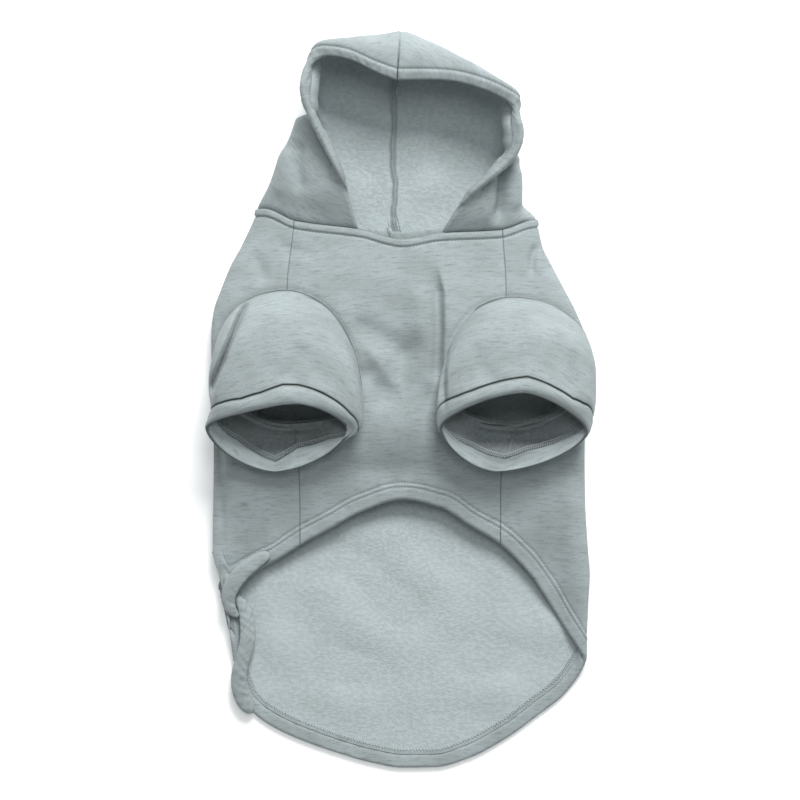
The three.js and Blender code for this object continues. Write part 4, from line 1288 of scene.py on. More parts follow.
        cloth = start[:, None] + heading[:, None] * from_spine[..., None]
        # painted shade: colour darkened along the centre seam, the crown seam and the neck seam
        seam = np.maximum(0.5 * bump(from_spine, 1.0), 0.4 * bump(to_crown, 1.0))
        seam = np.maximum(seam, bump(far, 1.6))
        return Grid(
            outer, inner, cloth, facing=HOOD_FACING, end=end, start=from_spine, seam=seam
        ), flipped

    def _crown(self, shares: np.ndarray) -> np.ndarray:
        """The crown seam, midway between the last sections of the two halves."""
        left, right = (
            by_length(self.profile(side, np.array([1.0])), shares[None])[0][0] for side in SIDES
        )
        return (left + right) / 2


def linear(hex_colour: str) -> tuple[float, float, float, float]:
    """An sRGB hex colour as linear light, with full cover."""
    parts = [int(hex_colour[i:i + 2], 16) / 255 for i in (1, 3, 5)]
    made = [p / 12.92 if p <= 0.04045 else ((p + 0.055) / 1.055) ** 2.4 for p in parts]
    return (*made, 1.0)


def add_node(
    tree: bpy.types.NodeTree, kind: str, links: dict[str, object] | None = None, **settings: object
) -> bpy.types.Node:
    """Adds a node with its settings and links.

    Args:
        tree: the tree that gets it.
        kind: the node's type name.
        links: for each input, by name or number, a socket to link or a value to set.
        settings: properties of the node.

    Returns:
        The node.
    """
    node = tree.nodes.new(kind)
    for name, value in settings.items():
        setattr(node, name, value)
    for name, value in (links or {}).items():
        socket = node.inputs[int(name)] if name.isdigit() else node.inputs[name]
        if isinstance(value, bpy.types.NodeSocket):
            tree.links.new(value, socket)
        else:
            socket.default_value = value
    return node


def new_material(
    name: str, settings: dict[str, object]
) -> tuple[bpy.types.Material, bpy.types.NodeTree, bpy.types.Node]:
    """Starts a material with the plain values of its shader.

    Args:
        name: the material's name.
        settings: the value of each socket of the shader that is named.

    Returns:
        The material, its tree and its shader.
    """
    material = bpy.data.materials.new(name)
    material.use_nodes = True
    shader = material.node_tree.nodes["Principled BSDF"]
    for socket, value in settings.items():
        shader.inputs[socket].default_value = value
    return material, material.node_tree, shader


def cloth_pattern(
    tree: bpy.types.NodeTree,
    size: tuple[float, float],
    levels: tuple[float, float],
    turn: float = 0.0,
    detail: float = 2.0,
) -> bpy.types.NodeSocket:
    """A soft irregular pattern on the cloth.

    Args:
        tree: the material's tree.
        size: length and width of one step of the pattern, in millimetres.
        levels: the levels of the noise at which the pattern is 0 and 1.
        turn: degrees that the pattern is turned by.
        detail: how many finer layers the noise has.

    Returns:
        The socket with the pattern's value, from 0 to 1.
    """
    place = add_node(tree, "ShaderNodeUVMap", uv_map="cloth")
    turned = add_node(tree, "ShaderNodeMapping", {
        "Vector": place.outputs["UV"], "Rotation": (0.0, 0.0, math.radians(turn)),
    })
    scaled = add_node(tree, "ShaderNodeMapping", {
        "Vector": turned.outputs["Vector"], "Scale": (1 / MM / size[0], 1 / MM / size[1], 1.0),
    })
    noise = add_node(tree, "ShaderNodeTexNoise", {
        "Vector": scaled.outputs["Vector"], "Scale": 1.0, "Detail": detail, "Roughness": 0.55,
    }, noise_dimensions="2D")
    return add_node(tree, "ShaderNodeMapRange", {
        "Value": noise.outputs["Fac"], "From Min": levels[0], "From Max": levels[1],
    }, interpolation_type="SMOOTHSTEP").outputs["Result"]


def added(
    tree: bpy.types.NodeTree, parts: list[tuple[bpy.types.NodeSocket, float]]
) -> bpy.types.NodeSocket:
    """Patterns added up, each by its share."""
    total = 0.0
    for pattern, share in parts:
        total = add_node(tree, "ShaderNodeMath", {
            "0": pattern, "1": share, "2": total,
        }, operation="MULTIPLY_ADD").outputs[0]
    return total


def layered(
    tree: bpy.types.NodeTree,
    ground: tuple[float, ...],
    layers: list[tuple[bpy.types.NodeSocket | float, tuple[float, ...]]],
) -> bpy.types.NodeSocket:
    """A colour with other colours laid over it.

    Args:
        tree: the material's tree.
        ground: the lowest colour.
        layers: the share and the colour of each layer, from the lowest.

    Returns:
        The socket with the mixed colour.
    """
    colour = ground
    for share, over in layers:
        colour = add_node(tree, "ShaderNodeMix", {
            "0": share, "6": colour, "7": over,
        }, data_type="RGBA").outputs[2]
    return colour


def dress(
    tree: bpy.types.NodeTree,
    shader: bpy.types.Node,
    colour: bpy.types.NodeSocket,
    relief: bpy.types.NodeSocket,
    strength: float,
    height: float,
) -> None:
    """Gives cloth its colour, and lets a relief of a part of a millimetre tilt its normals."""
    raised = add_node(tree, "ShaderNodeBump", {
        "Height": relief, "Strength": strength, "Distance": height * MM,
    })
    tree.links.new(colour, shader.inputs["Base Color"])
    tree.links.new(raised.outputs["Normal"], shader.inputs["Normal"])


@dataclass(frozen=True)
class Jersey:
    """Heather jersey face of sweatshirt cloth, knitted of light and dark fibres mixed in the yarn.

    The dark fibres show as short soft streaks along the knitted courses, and the face is matt.
    """

    name: str
    base: str = "#a0a9aa"
    light: str = "#aab4b6"
    dark: str = "#7c8889"
    # painted shade: near-black colour laid into the face along the seams' grooves
    groove_painted_shade: str = "#39423f"
    streak: tuple[float, float] = (7.5, 1.15)
    long_streak: tuple[float, float] = (17.0, 2.0)
    turn: float = 0.0

    def build(self) -> bpy.types.Material:
        """The material."""
        material, tree, shader = new_material(self.name, {
            "Roughness": 0.93, "Specular IOR Level": 0.25, "Sheen Weight": 0.12, "Sheen Roughness": 0.6,
        })
        short = cloth_pattern(tree, self.streak, (0.52, 0.72), self.turn)
        long = cloth_pattern(tree, self.long_streak, (0.50, 0.74), self.turn - 3)
        grain = cloth_pattern(tree, (1.5, 0.9), (0.25, 0.75), self.turn, 3.0)
        cloud = cloth_pattern(tree, (34.0, 20.0), (0.3, 0.7), self.turn)
        # painted shade: the seam attribute says how far each point is darkened towards the groove's shade
        # colour
        seam = add_node(tree, "ShaderNodeAttribute", attribute_name="seam").outputs["Fac"]
        colour = layered(tree, linear(self.base), [
            (cloud, linear(self.light)),
            (added(tree, [(short, 0.34), (long, 0.30), (grain, 0.20)]), linear(self.dark)),
            (added(tree, [(seam, 0.8)]), linear(self.groove_painted_shade)),
        ])
        dress(tree, shader, colour, added(tree, [(grain, 0.7), (short, 0.4)]), 0.22, 0.35)
        return material


@dataclass(frozen=True)
class Fleece:
    """Brushed back of sweatshirt cloth, whose loops are raised to a short matted nap.

    The nap lies in soft clouds a few millimetres wide, lighter and bluer than the face.
    """

    name: str
    base: str = "#adb8ba"
    light: str = "#b9c4c6"
    dark: str = "#a6b1b2"
    tuft: float = 3.0

    def build(self) -> bpy.types.Material:
        """The material."""
        material, tree, shader = new_material(self.name, {
            "Roughness": 1.0, "Specular IOR Level": 0.1, "Sheen Weight": 0.25, "Sheen Roughness": 0.7,
        })
        tufts = cloth_pattern(tree, (self.tuft * 1.3, self.tuft), (0.36, 0.66), detail=3.0)
        fine = cloth_pattern(tree, (1.9, 1.5), (0.3, 0.7), detail=3.0)
        wide = cloth_pattern(tree, (26.0, 22.0), (0.3, 0.7))
        colour = layered(tree, linear(self.dark), [
            (wide, linear(self.base)),
            (added(tree, [(tufts, 0.6), (fine, 0.25)]), linear(self.light)),
        ])
        dress(tree, shader, colour, added(tree, [(tufts, 1.0), (fine, 0.5)]), 0.3, 0.4)
        return material


@dataclass(frozen=True)
class SewingThread:
    """Spun polyester sewing thread, a soft twisted yarn with a slight gloss."""

    name: str
    colour: str

    def build(self) -> bpy.types.Material:
        """The material."""
        material, tree, shader = new_material(self.name, {"Roughness": 0.7})
        colour = linear(self.colour)
        place = add_node(tree, "ShaderNodeTexCoord")
        ply = add_node(tree, "ShaderNodeTexNoise", {
            "Vector": place.outputs["Object"], "Scale": 1 / (0.8 * MM),
        })
        tone = layered(tree, colour, [(ply.outputs["Fac"], linear("#dfe4e4")), (0.7, colour)])
        tree.links.new(tone, shader.inputs["Base Color"])
        return material


FACE = Jersey("heather_jersey_face")
BACK = Fleece("brushed_fleece_back")
# painted shade: a darker fleece inside the sleeves stands in for the little light that reaches the cloth deep
# inside them
SLEEVE_BACK_PAINTED_SHADE = Fleece("brushed_fleece_back_of_sleeves_painted_shade", "#7b8485", "#879091", "#6d7576")
DARK_THREAD = SewingThread("grey_polyester_thread", "#6d7979")
LIGHT_THREAD = SewingThread("pale_polyester_thread", "#aeb8ba")
MATERIALS: dict[str, bpy.types.Material] = {}
# Lines for stitches, each with the directions away from the cloth at its points.
Lines = list[tuple[np.ndarray, np.ndarray]]


def material_of(finish: Jersey | Fleece | SewingThread) -> bpy.types.Material:
    """The material of a finish, built once."""
    if finish.name not in MATERIALS:
        MATERIALS[finish.name] = finish.build()
    return MATERIALS[finish.name]


def add_object(name: str, data: bpy.types.ID) -> bpy.types.Object:
    """Makes an object of the data and puts it in the scene."""
    made = bpy.data.objects.new(name, data)
    bpy.context.scene.collection.objects.link(made)
    return made


def mesh_object(
    name: str,
    points: np.ndarray,
    faces: np.ndarray,
    finishes: list[Jersey | Fleece | SewingThread],
    marks: np.ndarray | None = None,
    cloth: np.ndarray | None = None,
    seam: np.ndarray | None = None,
) -> bpy.types.Object:
    """Makes a mesh object of four-sided faces.

    Args:
        name: the object's name.
        points: points in millimetres.
        faces: rows of four point numbers.
        finishes: the finishes, in the order that the marks count them.
        marks: the finish of each face.
        cloth: place on the cloth of each point, in millimetres.
        seam: how much painted shade each point gets, most in the groove of a seam.

    Returns:
        The object, in metres and in the CAD's place.
    """
    used, faces_now = np.unique(faces, return_inverse=True)
    faces_now = faces_now.reshape(faces.shape)
    place = (points[used] + ORIGIN_SHIFT) * MM
    mesh = bpy.data.meshes.new(name)
    mesh.vertices.add(len(place))
    mesh.vertices.foreach_set("co", place.ravel())
    mesh.loops.add(faces_now.size)
    mesh.loops.foreach_set("vertex_index", faces_now.ravel())
    mesh.polygons.add(len(faces_now))
    mesh.polygons.foreach_set("loop_start", np.arange(0, faces_now.size, 4))
    mesh.update(calc_edges=True)
    mesh.polygons.foreach_set("use_smooth", np.ones(len(faces_now), bool))
    for finish in finishes:
        mesh.materials.append(material_of(finish))
    if marks is not None:
        mesh.polygons.foreach_set("material_index", marks.astype(np.int32))
    if cloth is not None:
        layer = mesh.uv_layers.new(name="cloth")
        layer.data.foreach_set("uv", (cloth[used][faces_now.ravel()] * MM).astype(np.float32).ravel())
    if seam is not None:
        layer = mesh.attributes.new("seam", "FLOAT", "POINT")
        layer.data.foreach_set("value", seam[used].astype(np.float32))
    mesh.validate()
    return add_object(name, mesh)


def cloth_object(
    name: str, grid: Grid, flipped: bool, ribbons: tuple[Ribbon, ...] = (), back: Fleece = BACK
) -> bpy.types.Object:
    """Makes a panel's object, with the jersey outside and the fleece inside.

    Args:
        name: the object's name.
        grid: the panel's faces.
        flipped: whether the grid's own turn points inwards.
        ribbons: rolled parts of the same cloth.
        back: the finish of the cloth's inner face.

    Returns:
        The object.
    """
    faces, marks = grid.faces()
    if flipped:
        faces = faces[:, ::-1]
    points = np.concatenate([grid.outer.reshape(-1, 3), grid.inner.reshape(-1, 3)])
    cloth = np.concatenate([grid.cloth.reshape(-1, 2)] * 2)
    seam = np.concatenate([grid.seam.ravel()] * 2)
    for ribbon in ribbons:
        more, quads, places = ribbon.shell()
        faces = np.concatenate([faces, quads + len(points)])
        marks = np.concatenate([marks, np.zeros(len(quads), int)])
        points = np.concatenate([points, more])
        cloth = np.concatenate([cloth, places])
        seam = np.concatenate([seam, np.zeros(len(more))])
    return mesh_object(name, points, faces, [FACE, back], marks, cloth, seam)


@dataclass
class Ribbon:
    """A narrow band of cloth swept along a path, flattened and soft at its edges.

    Args:
        path: points of its middle line, in plan, with the height of its middle.
        widths: its width at each of those points.
        thickness: how thick it is in its middle.
        steps: how many sections it has.
        round_points: how many points a section has.
        wrinkle: height of the slanting wrinkles along it.
        seed: sets the wrinkles.
    """

    path: np.ndarray
    widths: np.ndarray
    thickness: float
    steps: int = 120
    round_points: int = 20
    wrinkle: float = 0.3
    seed: int = 1

    def shell(self) -> tuple[np.ndarray, np.ndarray, np.ndarray]:
        """The band's closed shell.

        Returns:
            Its points, its four-sided faces and its places on the cloth.
        """
        path, widths = np.asarray(self.path, float), np.asarray(self.widths, float)
        t = np.linspace(0, 1, self.steps)
        far = lengths_along(path)
        knots = far / far[-1]
        table = np.column_stack([path, widths])
        line = np.column_stack([self._even(knots, table[:, k], t) for k in range(4)])
        middle, width = line[:, :3], line[:, 3]
        ends = np.sqrt(np.clip(1 - (np.abs(t - 0.5) * 2) ** 14, 0.002, 1))
        heading = unit(np.gradient(middle, axis=0))
        beside = unit(np.cross(heading, [0.0, 0.0, 1.0]))
        upright = np.cross(beside, heading)
        angle = np.linspace(0, 2 * math.pi, self.round_points, endpoint=False)
        c = np.sign(np.cos(angle)) * np.abs(np.cos(angle)) ** 0.8
        s = np.sign(np.sin(angle)) * np.abs(np.sin(angle)) ** 0.8
        out = (
            middle[:, None]
            + beside[:, None] * (c[None] * (width * ends)[:, None] / 2)[..., None]
            + upright[:, None] * (s[None] * (self.thickness * ends)[:, None] / 2)[..., None]
        )
        along = np.broadcast_to(t[:, None] * far[-1], out.shape[:2])
        across = np.broadcast_to(c[None] * width[:, None] / 2, out.shape[:2])
        crease = np.stack([along + across * 0.9, across * 0.3], axis=-1)
        out = out + upright[:, None] * (
            self.wrinkle * ripples(crease, 6.0, self.seed) * np.maximum(s, 0)[None] * ends[:, None]
        )[..., None]
        i, j = np.meshgrid(np.arange(self.steps - 1), np.arange(self.round_points), indexing="ij")
        after = (j + 1) % self.round_points
        n = self.round_points
        faces = np.stack([i * n + j, (i + 1) * n + j, (i + 1) * n + after, i * n + after], axis=-1)
        caps = []
        for row, turned in ((0, False), (self.steps - 1, True)):
            for k in range(n // 2 - 1):
                cap = [row * n + k, row * n + k + 1, row * n + n - 2 - k, row * n + n - 1 - k]
                caps.append(cap[::-1] if turned else cap)
        faces = np.concatenate([faces.reshape(-1, 4), np.array(caps)])
        cloth = np.stack([along * 0.75 + across * 0.66, across * 0.75 - along * 0.66], axis=-1)
        return out.reshape(-1, 3), faces, cloth.reshape(-1, 2)

    @staticmethod
    def _even(knots: np.ndarray, values: np.ndarray, at: np.ndarray) -> np.ndarray:
        """A smooth line through the values."""
        slopes = np.gradient(values, knots)
        i = np.clip(np.searchsorted(knots, at, side="right") - 1, 0, len(knots) - 2)
        gap = knots[i + 1] - knots[i]
        t = (at - knots[i]) / gap
        return (
            values[i] * (1 + 2 * t) * (1 - t) ** 2
            + slopes[i] * gap * t * (1 - t) ** 2
            + values[i + 1] * t * t * (3 - 2 * t)
            + slopes[i + 1] * gap * t * t * (t - 1)
        )


def flat_path(places: list[tuple[float, float, float]]) -> np.ndarray:
    """Points given in the centred plan, moved to the raw frame of the panels."""
    return np.array(places) - ORIGIN_SHIFT


def stitch_tree() -> bpy.types.NodeTree:
    """Geometry nodes that lay stitches along lines, each a short rounded length of thread."""
    tree = bpy.data.node_groups.new("stitches_along_lines", "GeometryNodeTree")
    face = tree.interface
    for name, kind, start in (
        ("Lines", "NodeSocketGeometry", None),
        ("Pitch", "NodeSocketFloat", 2.5 * MM),
        ("Length", "NodeSocketFloat", 2.0 * MM),
        ("Thickness", "NodeSocketFloat", 0.5 * MM),
        ("Slant", "NodeSocketFloat", 0.0),
        ("Looseness", "NodeSocketFloat", 0.1),
        ("Seed", "NodeSocketInt", 1),
        ("Thread", "NodeSocketMaterial", None),
    ):
        socket = face.new_socket(name, in_out="INPUT", socket_type=kind)
        if start is not None:
            socket.default_value = start
    face.new_socket("Stitches", in_out="OUTPUT", socket_type="NodeSocketGeometry")
    given = add_node(tree, "NodeGroupInput").outputs
    curve = add_node(tree, "GeometryNodeMeshToCurve", {"Mesh": given["Lines"]})
    spaced = add_node(tree, "GeometryNodeResampleCurve", {
        "Curve": curve.outputs[0], "Length": given["Pitch"],
    }, mode="LENGTH")
    tangent = add_node(tree, "GeometryNodeInputTangent")
    away = add_node(tree, "GeometryNodeInputNamedAttribute", {"Name": "away"}, data_type="FLOAT_VECTOR")
    ahead = add_node(tree, "FunctionNodeAlignRotationToVector", {"Vector": tangent.outputs[0]}, axis="X")
    upright = add_node(tree, "FunctionNodeAlignRotationToVector", {
        "Rotation": ahead.outputs[0], "Vector": away.outputs["Attribute"],
    }, axis="Z", pivot_axis="X")
    loose = add_node(tree, "FunctionNodeRandomValue", {
        "2": -1.0, "3": 1.0, "Seed": given["Seed"],
    }, data_type="FLOAT")
    uneven = add_node(tree, "ShaderNodeMath", {
        "0": loose.outputs[1], "1": given["Looseness"],
    }, operation="MULTIPLY")
    slant = add_node(tree, "ShaderNodeMath", {
        "0": uneven.outputs[0], "1": given["Slant"],
    }, operation="ADD")
    turn = add_node(tree, "ShaderNodeCombineXYZ", {"Z": slant.outputs[0]})
    by = add_node(tree, "FunctionNodeEulerToRotation", {"Euler": turn.outputs[0]})
    turned = add_node(tree, "FunctionNodeRotateRotation", {
        "Rotation": upright.outputs[0], "Rotate By": by.outputs[0],
    }, rotation_space="LOCAL")
    size = add_node(tree, "ShaderNodeCombineXYZ", {
        "X": given["Length"], "Y": given["Thickness"], "Z": given["Thickness"],
    })
    thread = add_node(tree, "GeometryNodeMeshUVSphere", {"Segments": 6, "Rings": 4, "Radius": 0.5})
    ends = add_node(tree, "GeometryNodeTransform", {
        "Geometry": thread.outputs[0], "Rotation": (0.0, math.pi / 2, 0.0),
    })
    laid = add_node(tree, "GeometryNodeInstanceOnPoints", {
        "Points": spaced.outputs[0], "Instance": ends.outputs[0],
        "Rotation": turned.outputs[0], "Scale": size.outputs[0],
    })
    real = add_node(tree, "GeometryNodeRealizeInstances", {"Geometry": laid.outputs[0]})
    soft = add_node(tree, "GeometryNodeSetShadeSmooth", {"Geometry": real.outputs[0]})
    dressed = add_node(tree, "GeometryNodeSetMaterial", {
        "Geometry": soft.outputs[0], "Material": given["Thread"],
    })
    add_node(tree, "NodeGroupOutput", {"0": dressed.outputs[0]})
    return tree


@dataclass
class Stitches:
    """A run of stitches along lines on the cloth.

    Args:
        name: the piece's name.
        pitch: from one stitch to the next.
        length: length of the thread that shows in a stitch.
        thickness: of the thread.
        finish: the thread.
        slant: degrees between a stitch and its line.
        looseness: how unevenly the stitches lie, in degrees.
        seed: sets the unevenness.
    """

    name: str
    pitch: float
    length: float
    thickness: float
    finish: SewingThread
    slant: float = 0.0
    looseness: float = 5.0
    seed: int = 1

    def sew(self, tree: bpy.types.NodeTree, lines: Lines) -> bpy.types.Object:
        """Lays the stitches.

        Args:
            tree: the geometry nodes that lay them.
            lines: for each line its points and the directions away from the cloth.

        Returns:
            The object with the stitches as a plain mesh.
        """
        points = np.concatenate([line for line, _ in lines])
        away = np.concatenate([direction for _, direction in lines])
        edges, start = [], 0
        for line, _ in lines:
            number = np.arange(start, start + len(line))
            edges.append(np.stack([number[:-1], number[1:]], axis=1))
            start += len(line)
        mesh = bpy.data.meshes.new(self.name + "_lines")
        mesh.from_pydata(((points + ORIGIN_SHIFT) * MM).tolist(), np.concatenate(edges).tolist(), [])
        mesh.attributes.new("away", "FLOAT_VECTOR", "POINT").data.foreach_set(
            "vector", away.astype(np.float32).ravel()
        )
        guide = add_object(self.name + "_guide", mesh)
        modifier = guide.modifiers.new("stitches", "NODES")
        modifier.node_group = tree
        values = {
            "Pitch": self.pitch * MM,
            "Length": self.length * MM,
            "Thickness": self.thickness * MM,
            "Slant": math.radians(self.slant),
            "Looseness": math.radians(self.looseness),
            "Seed": self.seed,
            "Thread": material_of(self.finish),
        }
        for item in tree.interface.items_tree:
            if item.in_out == "INPUT" and item.name in values:
                modifier[item.identifier] = values[item.name]
        seen = guide.evaluated_get(bpy.context.evaluated_depsgraph_get())
        made = bpy.data.meshes.new_from_object(seen)
        bpy.data.objects.remove(guide)
        made.name = self.name
        return add_object(self.name, made)


class Studio:
    """The pale floor, the soft light and the camera straight above the hoodie."""

    DISTANCE = 3.0
    VIEW = 0.5946
    AIM = (-0.0004, -0.0004)
    ROOM_COLOUR = "#f4f7f8"
    ROOM_STRENGTH = 0.31
    TABLE_COLOUR = "#f8f9f9"
    TABLE_GLOW = 0.26
    TABLE_REACH = 4.0
    LIGHTS = (
        ("key_softbox", (0.8, 3.7, 3.1), 1.7, 240.0),
        ("top_softbox", (0.2, 1.6, 4.2), 1.8, 38.0),
    )

    def build(self) -> None:
        """Makes the floor, the lights and the camera."""
        scene = bpy.context.scene
        scene.view_settings.view_transform = "Standard"
        world = bpy.data.worlds.new("soft_white_room")
        scene.world = world
        world.use_nodes = True
        background = world.node_tree.nodes["Background"]
        background.inputs["Color"].default_value = linear(self.ROOM_COLOUR)
        background.inputs["Strength"].default_value = self.ROOM_STRENGTH
        self._floor()
        for light in self.LIGHTS:
            self._light(*light)
        lens = bpy.data.cameras.new("camera")
        lens.lens = lens.sensor_width * self.DISTANCE / self.VIEW
        lens.clip_end = 20.0
        camera = add_object("camera", lens)
        camera.location = (*self.AIM, self.DISTANCE + 0.03)
        scene.camera = camera

    def _floor(self) -> None:
        """The pale photo table, lit softly from within, that the hoodie lies on."""
        mesh = bpy.data.meshes.new("floor")
        reach = self.TABLE_REACH
        mesh.from_pydata(
            [(-reach, -reach, 0), (reach, -reach, 0), (reach, reach, 0), (-reach, reach, 0)],
            [], [(0, 1, 2, 3)],
        )
        colour = linear(self.TABLE_COLOUR)
        material, _, _ = new_material("lit_photo_table", {
            "Base Color": colour,
            "Emission Color": colour,
            "Emission Strength": self.TABLE_GLOW,
            "Roughness": 0.9,
        })
        mesh.materials.append(material)
        floor = add_object("floor", mesh)

    @staticmethod
    def _light(name: str, place: tuple[float, float, float], size: float, watts: float) -> None:
        """One soft light that faces the hoodie."""
        lamp = bpy.data.lights.new(name, "AREA")
        lamp.energy, lamp.size = watts, size
        light = add_object(name, lamp)
        light.location = place
        x, y, z = place
        light.rotation_euler = (math.atan2(math.hypot(x, y), z), 0.0, math.atan2(y, x) + math.pi / 2)


# The belly hem's end, curled under at the left flank, and the rolled tail hem below it.
HEM_ROLLS = (
    Ribbon(
        flat_path([
            (-98.0, -115.0, 14.0), (-110.0, -122.5, 15.5), (-120.5, -131.5, 15.5), (-126.5, -140.5, 14.5),
            (-128.8, -149.0, 13.0), (-127.0, -156.5, 11.5), (-121.5, -163.0, 9.0),
        ]),
        np.array([8.0, 11.0, 12.5, 12.0, 10.5, 8.5, 5.5]), 5.0, wrinkle=0.45, seed=61,
    ),
    Ribbon(
        flat_path([
            (-124.0, -146.0, 6.5), (-117.0, -157.0, 9.0), (-114.4, -170.0, 10.5), (-114.8, -182.0, 11.0),
            (-117.5, -192.0, 11.0), (-120.5, -204.0, 10.0), (-120.5, -216.0, 8.5), (-117.0, -226.0, 7.0),
            (-111.0, -235.0, 5.6),
        ]),
        np.array([6.0, 9.5, 11.5, 11.5, 11.0, 11.5, 12.0, 12.0, 10.0]), 5.6, wrinkle=0.5, seed=67,
    ),
)


@dataclass(frozen=True)
class Cut:
    """The flat piece of cloth that a panel is cut from, in metres."""

    width: float
    length: float
    area: float


@dataclass(frozen=True)
class EdgeSewing:
    """Overlocking or cover stitching that wraps a raw edge.

    Args:
        name: the pieces' name.
        reach: how far the threads reach across.
        pitch: from one thread to the next.
        lift: how far the threads stand off the cloth.
    """

    name: str
    reach: float
    pitch: float
    lift: float

    def threads(self, lines: Lines) -> list[tuple[Stitches, Lines]]:
        """The threads that cross the edge, and the chains along both sides of it.

        Args:
            lines: the raw edge's lines and the directions away from the cloth.

        Returns:
            Each run of stitches with its lines.
        """
        raised = [(line + away * self.lift, away) for line, away in lines]
        sides = []
        for line, away in raised:
            beside = unit(np.cross(unit(np.gradient(line, axis=0)), away))
            sides += [(line + beside * self.reach * side, away) for side in (-0.5, 0.5)]
        name, pitch, reach = self.name, self.pitch, self.reach
        return [
            (Stitches(name + "_cross_threads", pitch, reach, 0.5, LIGHT_THREAD, 72.0, 8.0, 11), raised),
            (
                Stitches(name + "_looper_threads", pitch * 1.6, reach, 0.45, DARK_THREAD, -52.0, 12.0, 12),
                raised,
            ),
            (Stitches(name + "_chains", pitch * 1.3, pitch * 1.5, 0.6, LIGHT_THREAD, 14.0, 10.0, 13), sides),
        ]


def centre_seam(half: HoodHalf) -> tuple[np.ndarray, np.ndarray]:
    """The hood's centre seam on the inside, from the nape to the crown's hem."""
    grid = half.grid
    floor, crown = grid.inner[:, 0], grid.inner[-1]
    back = np.concatenate([grid.outer[:, 0], grid.outer[-1]])
    line = np.concatenate([floor, crown])
    away = unit(line - back)
    steps = np.linalg.norm(np.diff(line, axis=0, prepend=line[:1]), axis=1)
    kept = steps > 0.05
    kept[0] = True
    line, away = line[kept], away[kept]
    far = lengths_along(line)
    at = np.arange(4.0, far[-1] - 10.0, 1.5)
    line = np.column_stack([np.interp(at, far, line[:, k]) for k in range(3)])
    away = unit(np.column_stack([np.interp(at, far, away[:, k]) for k in range(3)]))
    sway = 1.6 * ripples(at[:, None], 60.0, seed=71) + 0.5 * ripples(at[:, None], 17.0, seed=72)
    line[:, 0] += sway - 1.2
    return line, away


def runs(points: np.ndarray, away: np.ndarray) -> Lines:
    """Splits a line of stitches where it goes through the curled left corner."""
    x, y = (points[:, :2] + ORIGIN_SHIFT[:2]).T
    across, low, high = CURLED_CORNER
    hidden = (x < across) & (y < high) & (y > low)
    parts, start = [], None
    for k, gone in enumerate(np.append(hidden, True)):
        if not gone and start is None:
            start = k
        if gone and start is not None:
            if k - start > 2:
                parts.append((points[start:k], away[start:k]))
            start = None
    return parts


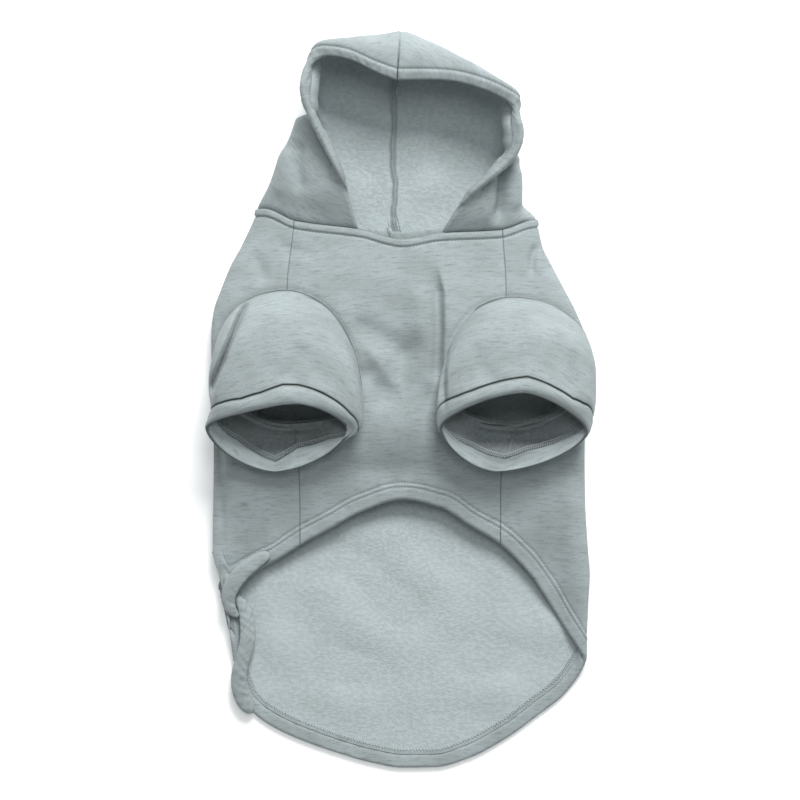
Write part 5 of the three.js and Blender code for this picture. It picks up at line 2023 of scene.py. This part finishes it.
@dataclass
class Hoodie:
    """The whole hoodie, panel by panel, with its sewing."""

    tree: bpy.types.NodeTree = field(default_factory=stitch_tree)
    pieces: list[bpy.types.Object] = field(default_factory=list)

    def keep(self, piece: bpy.types.Object) -> None:
        """Lets a piece ride with the hoodie.

        Args:
            piece: the piece.
        """
        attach(piece, "root")
        area = sum(face.area for face in piece.data.polygons)
        LOG.info("%s: %d faces, %.4f square metres", piece.name, len(piece.data.polygons), area)
        self.pieces.append(piece)

    def panel(
        self, name: str, grid: Grid, flipped: bool, ribbons: tuple[Ribbon, ...] = ()
    ) -> None:
        """Makes a cloth panel that stands for the CAD node of the same name.

        Args:
            name: the CAD node's name.
            grid: the panel's faces.
            flipped: whether the grid's own turn points inwards.
            ribbons: rolled parts of the same cloth.
        """
        # the sleeves' inner faces take the fleece darkened with painted shade
        back = SLEEVE_BACK_PAINTED_SHADE if name.startswith("sleeve") else BACK
        piece = cloth_object(name + "_cloth", grid, flipped, ribbons, back)
        self.keep(piece)
        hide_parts(name)

    def strip(self, name: str, ribbon: Ribbon, finish: Jersey | Fleece) -> None:
        """Makes a narrow band of cloth, which is a seam's allowance."""
        points, faces, places = ribbon.shell()
        self.keep(mesh_object(name, points, faces, [finish], None, places))

    def sewing(self, stitches: Stitches, lines: Lines) -> None:
        """Lays a run of stitches along lines."""
        self.keep(stitches.sew(self.tree, lines))

    def edge(self, sewing: EdgeSewing, lines: Lines) -> None:
        """Lays the threads that wrap a raw edge."""
        for stitches, at in sewing.threads(lines):
            self.sewing(stitches, at)

    def _inner_sewing(self, back: BodyPanel, half: HoodHalf, uppers: dict[str, Grid]) -> None:
        """Lays the allowances and threads of the seams that show inside the hoodie.

        Args:
            back: the back panel.
            half: the hood's left half.
            uppers: the sleeves.
        """
        hem = runs(*back.grid.line(HEM_DEPTH - 0.6, inner=True, lift=0.1))
        hem = [(line, away) for line, away in hem if line[:, 1].min() < TAIL_HEM_FROM]
        self.edge(EdgeSewing("tail_hem_coverstitch", 4.2, 1.5, 0.25), hem)
        line, away = centre_seam(half)
        widths = np.full(len(line), 3.7)
        allowance = Ribbon(line + away * 0.9, widths, 1.9, steps=220, round_points=10, wrinkle=0.12)
        self.strip("hood_centre_seam_allowance", allowance, FACE)
        # along the underside only, which is the part that shows through the cuffs' openings
        lower = slice(*UNDERSIDE)
        mouths = [upper.line(1.2, inner=True) for upper in uppers.values()]
        mouths = [(mouth[lower], off[lower]) for mouth, off in mouths]
        self.edge(EdgeSewing("cuff_seam_overlock", 3.6, 1.4, 0.5), mouths)
        for side, upper in uppers.items():
            under = upper.inner[UNDERARM_AT[side], 10:-1] + np.array([0.0, 0.0, 0.4])
            # the allowance inside each sleeve takes the fleece darkened with painted shade
            seam = Ribbon(under, np.full(len(under), 2.6), 2.2, wrinkle=0.12, seed=81)
            self.strip(f"sleeve_{side}_seam_allowance", seam, SLEEVE_BACK_PAINTED_SHADE)
        nape = Ribbon(flat_path(NAPE_PATH), np.full(len(NAPE_PATH), 7.5), 2.4, wrinkle=0.1, seed=73)
        self.strip("nape_seam_allowance", nape, FACE)
        tail = flat_path(THREAD_TAIL)
        upright = np.tile([0.0, 0.0, 1.0], (len(tail), 1))
        loose = Stitches("nape_thread_tail", 0.7, 1.0, 0.5, DARK_THREAD, 20.0, 15.0, 15)
        self.sewing(loose, [(tail, upright)])
        self.edge(EdgeSewing("hood_centre_seam_overlock", 3.9, 1.25, 1.95), [(line, away)])

    def build(self) -> None:
        """Makes every piece."""
        belly = BodyPanel(True, 76, 150, HEM_DEPTH)
        back = BodyPanel(False, 105, 150, HEM_DEPTH)
        for name, body, rolls in (("belly_panel", belly, ()), ("back_panel", back, HEM_ROLLS)):
            self.panel(name, body.grid, body.flipped, rolls)
        halves, uppers = {}, {}
        for side, sleeve in SLEEVES.items():
            half = halves[side] = HoodHalf(side)
            self.panel(f"hood_{side}", half.grid, half.flipped)
            grid, flipped = sleeve.tube(SLEEVE_RINGS_AT, WALL, (0.6, 1.2), 0.4, seed=41, at_armhole=True)
            uppers[side] = grid
            self.panel(f"sleeve_{side}", grid, flipped)
            grid, flipped = sleeve.tube(CUFF_RINGS_AT, CUFF_WALL, (1.3, 1.7), 0.9, seed=47, at_armhole=False)
            self.panel(f"cuff_{side}", grid, flipped)
        twin = [
            part for body in (belly, back) for at in TWIN_ROWS_AT
            for part in runs(*body.grid.line(at, lift=0.12))
        ]
        self.sewing(Stitches("hem_twin_needle_stitches", 2.4, 1.5, 0.45, DARK_THREAD, seed=2), twin)
        neck = [body.grid.line(TOPSTITCH_AT, lift=0.1, from_start=True) for body in (belly, back)]
        self.sewing(Stitches("neck_topstitches", 2.6, 1.7, 0.5, DARK_THREAD, seed=3), neck)
        self._inner_sewing(back, halves["left"], uppers)
        rim = []
        for half in halves.values():
            for inner in (False, True):
                line, away = half.grid.line(HOOD_STITCH, inner=inner, lift=0.1)
                rim.append((line[HOOD_STITCH_FROM:], away[HOOD_STITCH_FROM:]))
        self.sewing(Stitches("hood_hem_stitches", 2.6, 1.6, 0.42, DARK_THREAD, seed=4), rim)


def main() -> None:
    """Builds the studio and the hoodie, and reports each piece."""
    logging.basicConfig(level=logging.INFO, format="%(message)s")
    Studio().build()
    hoodie = Hoodie()
    hoodie.build()
    LOG.info("%d pieces", len(hoodie.pieces))


if __name__ == "__main__":
    main()
